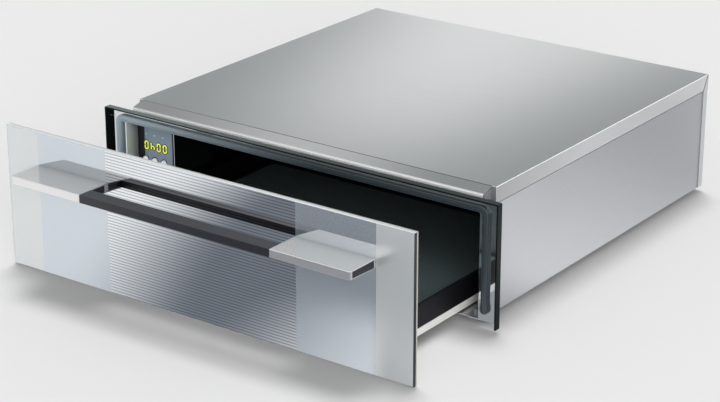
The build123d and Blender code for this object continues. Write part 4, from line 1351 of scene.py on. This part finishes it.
@dataclass(frozen=True)
class ReflectorCard(Finish):
    """A card that only glossy metal shows: a pale four-sided patch with soft edges on a greyer ground.

    The left and right edges are where each crosses the card's middle, its slant and half its soft width.
    """

    dark: Colour = (0.29, 0.315, 0.315, 1.0)
    front: Span = (0.36, 1.11)
    left: tuple[float, float, float] = (-0.92, 0.186, 0.17)
    right: tuple[float, float, float] = (-0.455, -0.083, 0.14)
    middle: float = 1.1
    near_across: Span = (-0.30, -0.08)
    near_depth: Span = (0.25, 0.4)
    near_share: float = 0.5

    def beyond(self, recipe: Recipe, place: float, slant: float, soft: float) -> Socket:
        """Returns nought left of a slanted soft edge and one right of it.

        Args:
            recipe: the card's recipe.
            place: where the edge crosses the middle of the card.
            slant: how far it moves to the left for each metre to the rear.
            soft: half its soft width.
        """
        lean = recipe.times(recipe.calc("SUBTRACT", recipe.along(Axis.Y), self.middle), slant)
        return recipe.rise(recipe.calc("ADD", recipe.along(Axis.X), lean), place - soft, place + soft)

    def paint(self, recipe: Recipe, tint: Colour) -> None:
        """Draws a patch that widens to the rear, and a fainter one along the card's front at the left."""
        across, back = recipe.along(Axis.X), recipe.along(Axis.Y)
        sides = recipe.calc("SUBTRACT", self.beyond(recipe, *self.left), self.beyond(recipe, *self.right))
        patch = recipe.times(sides, recipe.rise(back, *self.front))
        faint = recipe.calc("SUBTRACT", self.near_share, recipe.rise(back, *self.near_depth), clamp=True)
        near = recipe.times(recipe.rest(recipe.rise(across, *self.near_across)), faint)
        share = recipe.most(patch, near, clamp=True)
        recipe.show(recipe.emission(recipe.blend(share, self.dark, tint)).outputs[0])


@dataclass
class Studio:
    """The plain pale floor and background, soft lamps and the viewpoint."""

    background: str = "#ebebeb"
    floor_half: float = 12.0
    floor_drop: float = 0.0004
    fill: float = 0.35
    shaded_sky: float = 0.33
    shaded_round: tuple[Span, Span] = ((28.0, 42.0), (80.0, 110.0))
    shaded_below: Span = (0.45, 0.6)
    card_corners: tuple[float, float, float, float] = (-1.45, 0.12, -0.05, 1.72)
    card_height: float = 0.56
    image_width: float = 720.0
    focal_pixels: float = 2144.19
    sensor: float = 36.0
    camera_place: tuple[float, float, float] = (1.47856, -2.06668, 1.02508)
    camera_yaw: float = 0.6276
    camera_pitch: float = 0.3689
    camera_clip: Span = (0.05, 60.0)

    def light_world(self) -> None:
        """Makes a world that shows the background colour and gives an even fill.

        Mirrors see it pale too, but greyer low down at the front left, by the angle round from the front.
        """
        world = bpy.data.worlds.new("studio")
        world.use_nodes = True
        bpy.context.scene.world = world
        sky = Pattern(world.node_tree)
        pale = linear(self.background)
        shown, soft, mirrored = (sky.nodes.new("ShaderNodeBackground") for _ in range(3))
        shown.inputs["Color"].default_value = pale
        soft.inputs["Strength"].default_value = self.fill
        soft.inputs["Color"].default_value = (1.0, 1.0, 1.0, 1.0)
        turned = sky.calc("ARCTAN2", *(sky.times(sky.along(axis), -1.0) for axis in (Axis.X, Axis.Y)))
        share = sky.times(sky.band(turned, *np.radians(self.shaded_round).tolist()),
                          sky.rest(sky.rise(sky.along(Axis.Z), *self.shaded_below)))
        sky.put(mirrored.inputs["Color"], sky.tones(share, pale, 1.0, self.shaded_sky / pale[0]))
        path = sky.nodes.new("ShaderNodeLightPath").outputs
        seen = sky.most(path["Is Camera Ray"], path["Is Transmission Ray"])
        glossy, direct = sky.mirror_rays()
        sky.put(mirrored.inputs["Strength"], direct)
        lit = sky.mixed(glossy, soft.outputs[0], mirrored.outputs[0])
        sky.put(sky.nodes["World Output"].inputs["Surface"], sky.mixed(seen, lit, shown.outputs[0]))

    def lay_sheet(self, box: tuple[float, float, float, float], height: float,
                  finish: Finish) -> bpy.types.Object:
        """Lays one flat sheet of the studio, named as its finish.

        Args:
            box: its lowest and highest X, then its lowest and highest Y.
            height: its height.
            finish: its finish.

        Returns:
            The sheet.
        """
        left, right, near, far = box
        mesh = bpy.data.meshes.new(finish.name)
        corners = [(left, near, height), (right, near, height), (right, far, height), (left, far, height)]
        mesh.from_pydata(corners, [], [(0, 1, 2, 3)])
        mesh.materials.append(finish.make())
        sheet = bpy.data.objects.new(finish.name, mesh)
        bpy.context.scene.collection.objects.link(sheet)
        return sheet

    def hang_sun(self, name: str, strength: float, spread: float, azimuth: float, elevation: float) -> None:
        """Hangs one broad, soft lamp, which glossy surfaces don't show.

        Args:
            name: the lamp's name.
            strength: its irradiance.
            spread: its width in the sky, in degrees.
            azimuth: where it stands, in degrees from +X towards +Y.
            elevation: its height above the horizon, in degrees.
        """
        data = bpy.data.lights.new(name, "SUN")
        data.energy = strength
        data.angle = math.radians(spread)
        lamp = bpy.data.objects.new(name, data)
        bpy.context.scene.collection.objects.link(lamp)
        lamp.rotation_euler = (0.0, math.radians(90 - elevation), math.radians(azimuth))
        lamp.visible_glossy = False

    def place_camera(self) -> None:
        """Places the camera where the photograph was taken from."""
        data = bpy.data.cameras.new("viewpoint")
        data.lens = self.focal_pixels * self.sensor / self.image_width
        data.sensor_width = self.sensor
        data.clip_start, data.clip_end = self.camera_clip
        camera = bpy.data.objects.new("viewpoint", data)
        bpy.context.scene.collection.objects.link(camera)
        camera.location = self.camera_place
        camera.rotation_euler = (math.pi / 2 - self.camera_pitch, 0.0, self.camera_yaw)
        bpy.context.scene.camera = camera

    def build(self) -> None:
        """Sets up the whole studio."""
        self.place_camera()
        self.light_world()
        half = self.floor_half
        self.lay_sheet((-half, half, -half, half), -self.floor_drop,
                       MirroredFloor("studio_floor", self.background, 1.0))
        card = self.lay_sheet(self.card_corners, self.card_height,
                              ReflectorCard("reflector_card", "#f1f1f1", 1.0))
        card.visible_camera = card.visible_diffuse = card.visible_shadow = False
        card.visible_transmission = card.visible_volume_scatter = False
        self.hang_sun("overhead_lamp", strength=1.57, spread=20.0, azimuth=125.0, elevation=77.0)
        self.hang_sun("front_lamp", strength=1.9, spread=40.0, azimuth=312.0, elevation=16.0)
        bpy.context.scene.view_settings.view_transform = "Standard"


# ---------------------------------------------------------------- the whole drawer
def dress_nodes() -> None:
    """Gives each CAD node its own finish, or that of its material slot."""
    made = {name: finish.make() for name, finish in (SLOT_FINISHES | NODE_FINISHES).items()}
    for subpart in frame["record"]["subparts"]:
        name, slot = subpart["node"], subpart["material_slot"]
        materials = frame["nodes"][name].data.materials
        materials.clear()
        materials.append(made[name if name in NODE_FINISHES else slot])
        log.info("%s: %s", name, slot)


def main() -> None:
    """Builds the studio and the drawer's pieces in order."""
    logging.basicConfig(level=logging.INFO, format="%(name)s %(message)s")
    Studio().build()
    dress_nodes()
    for assembly in (GlassPane(), DoorSeal(), RibbedMat(), LipCorners(), LitDisplay(), ButtonRings()):
        assembly.build()


if __name__ == "__main__":
    main()
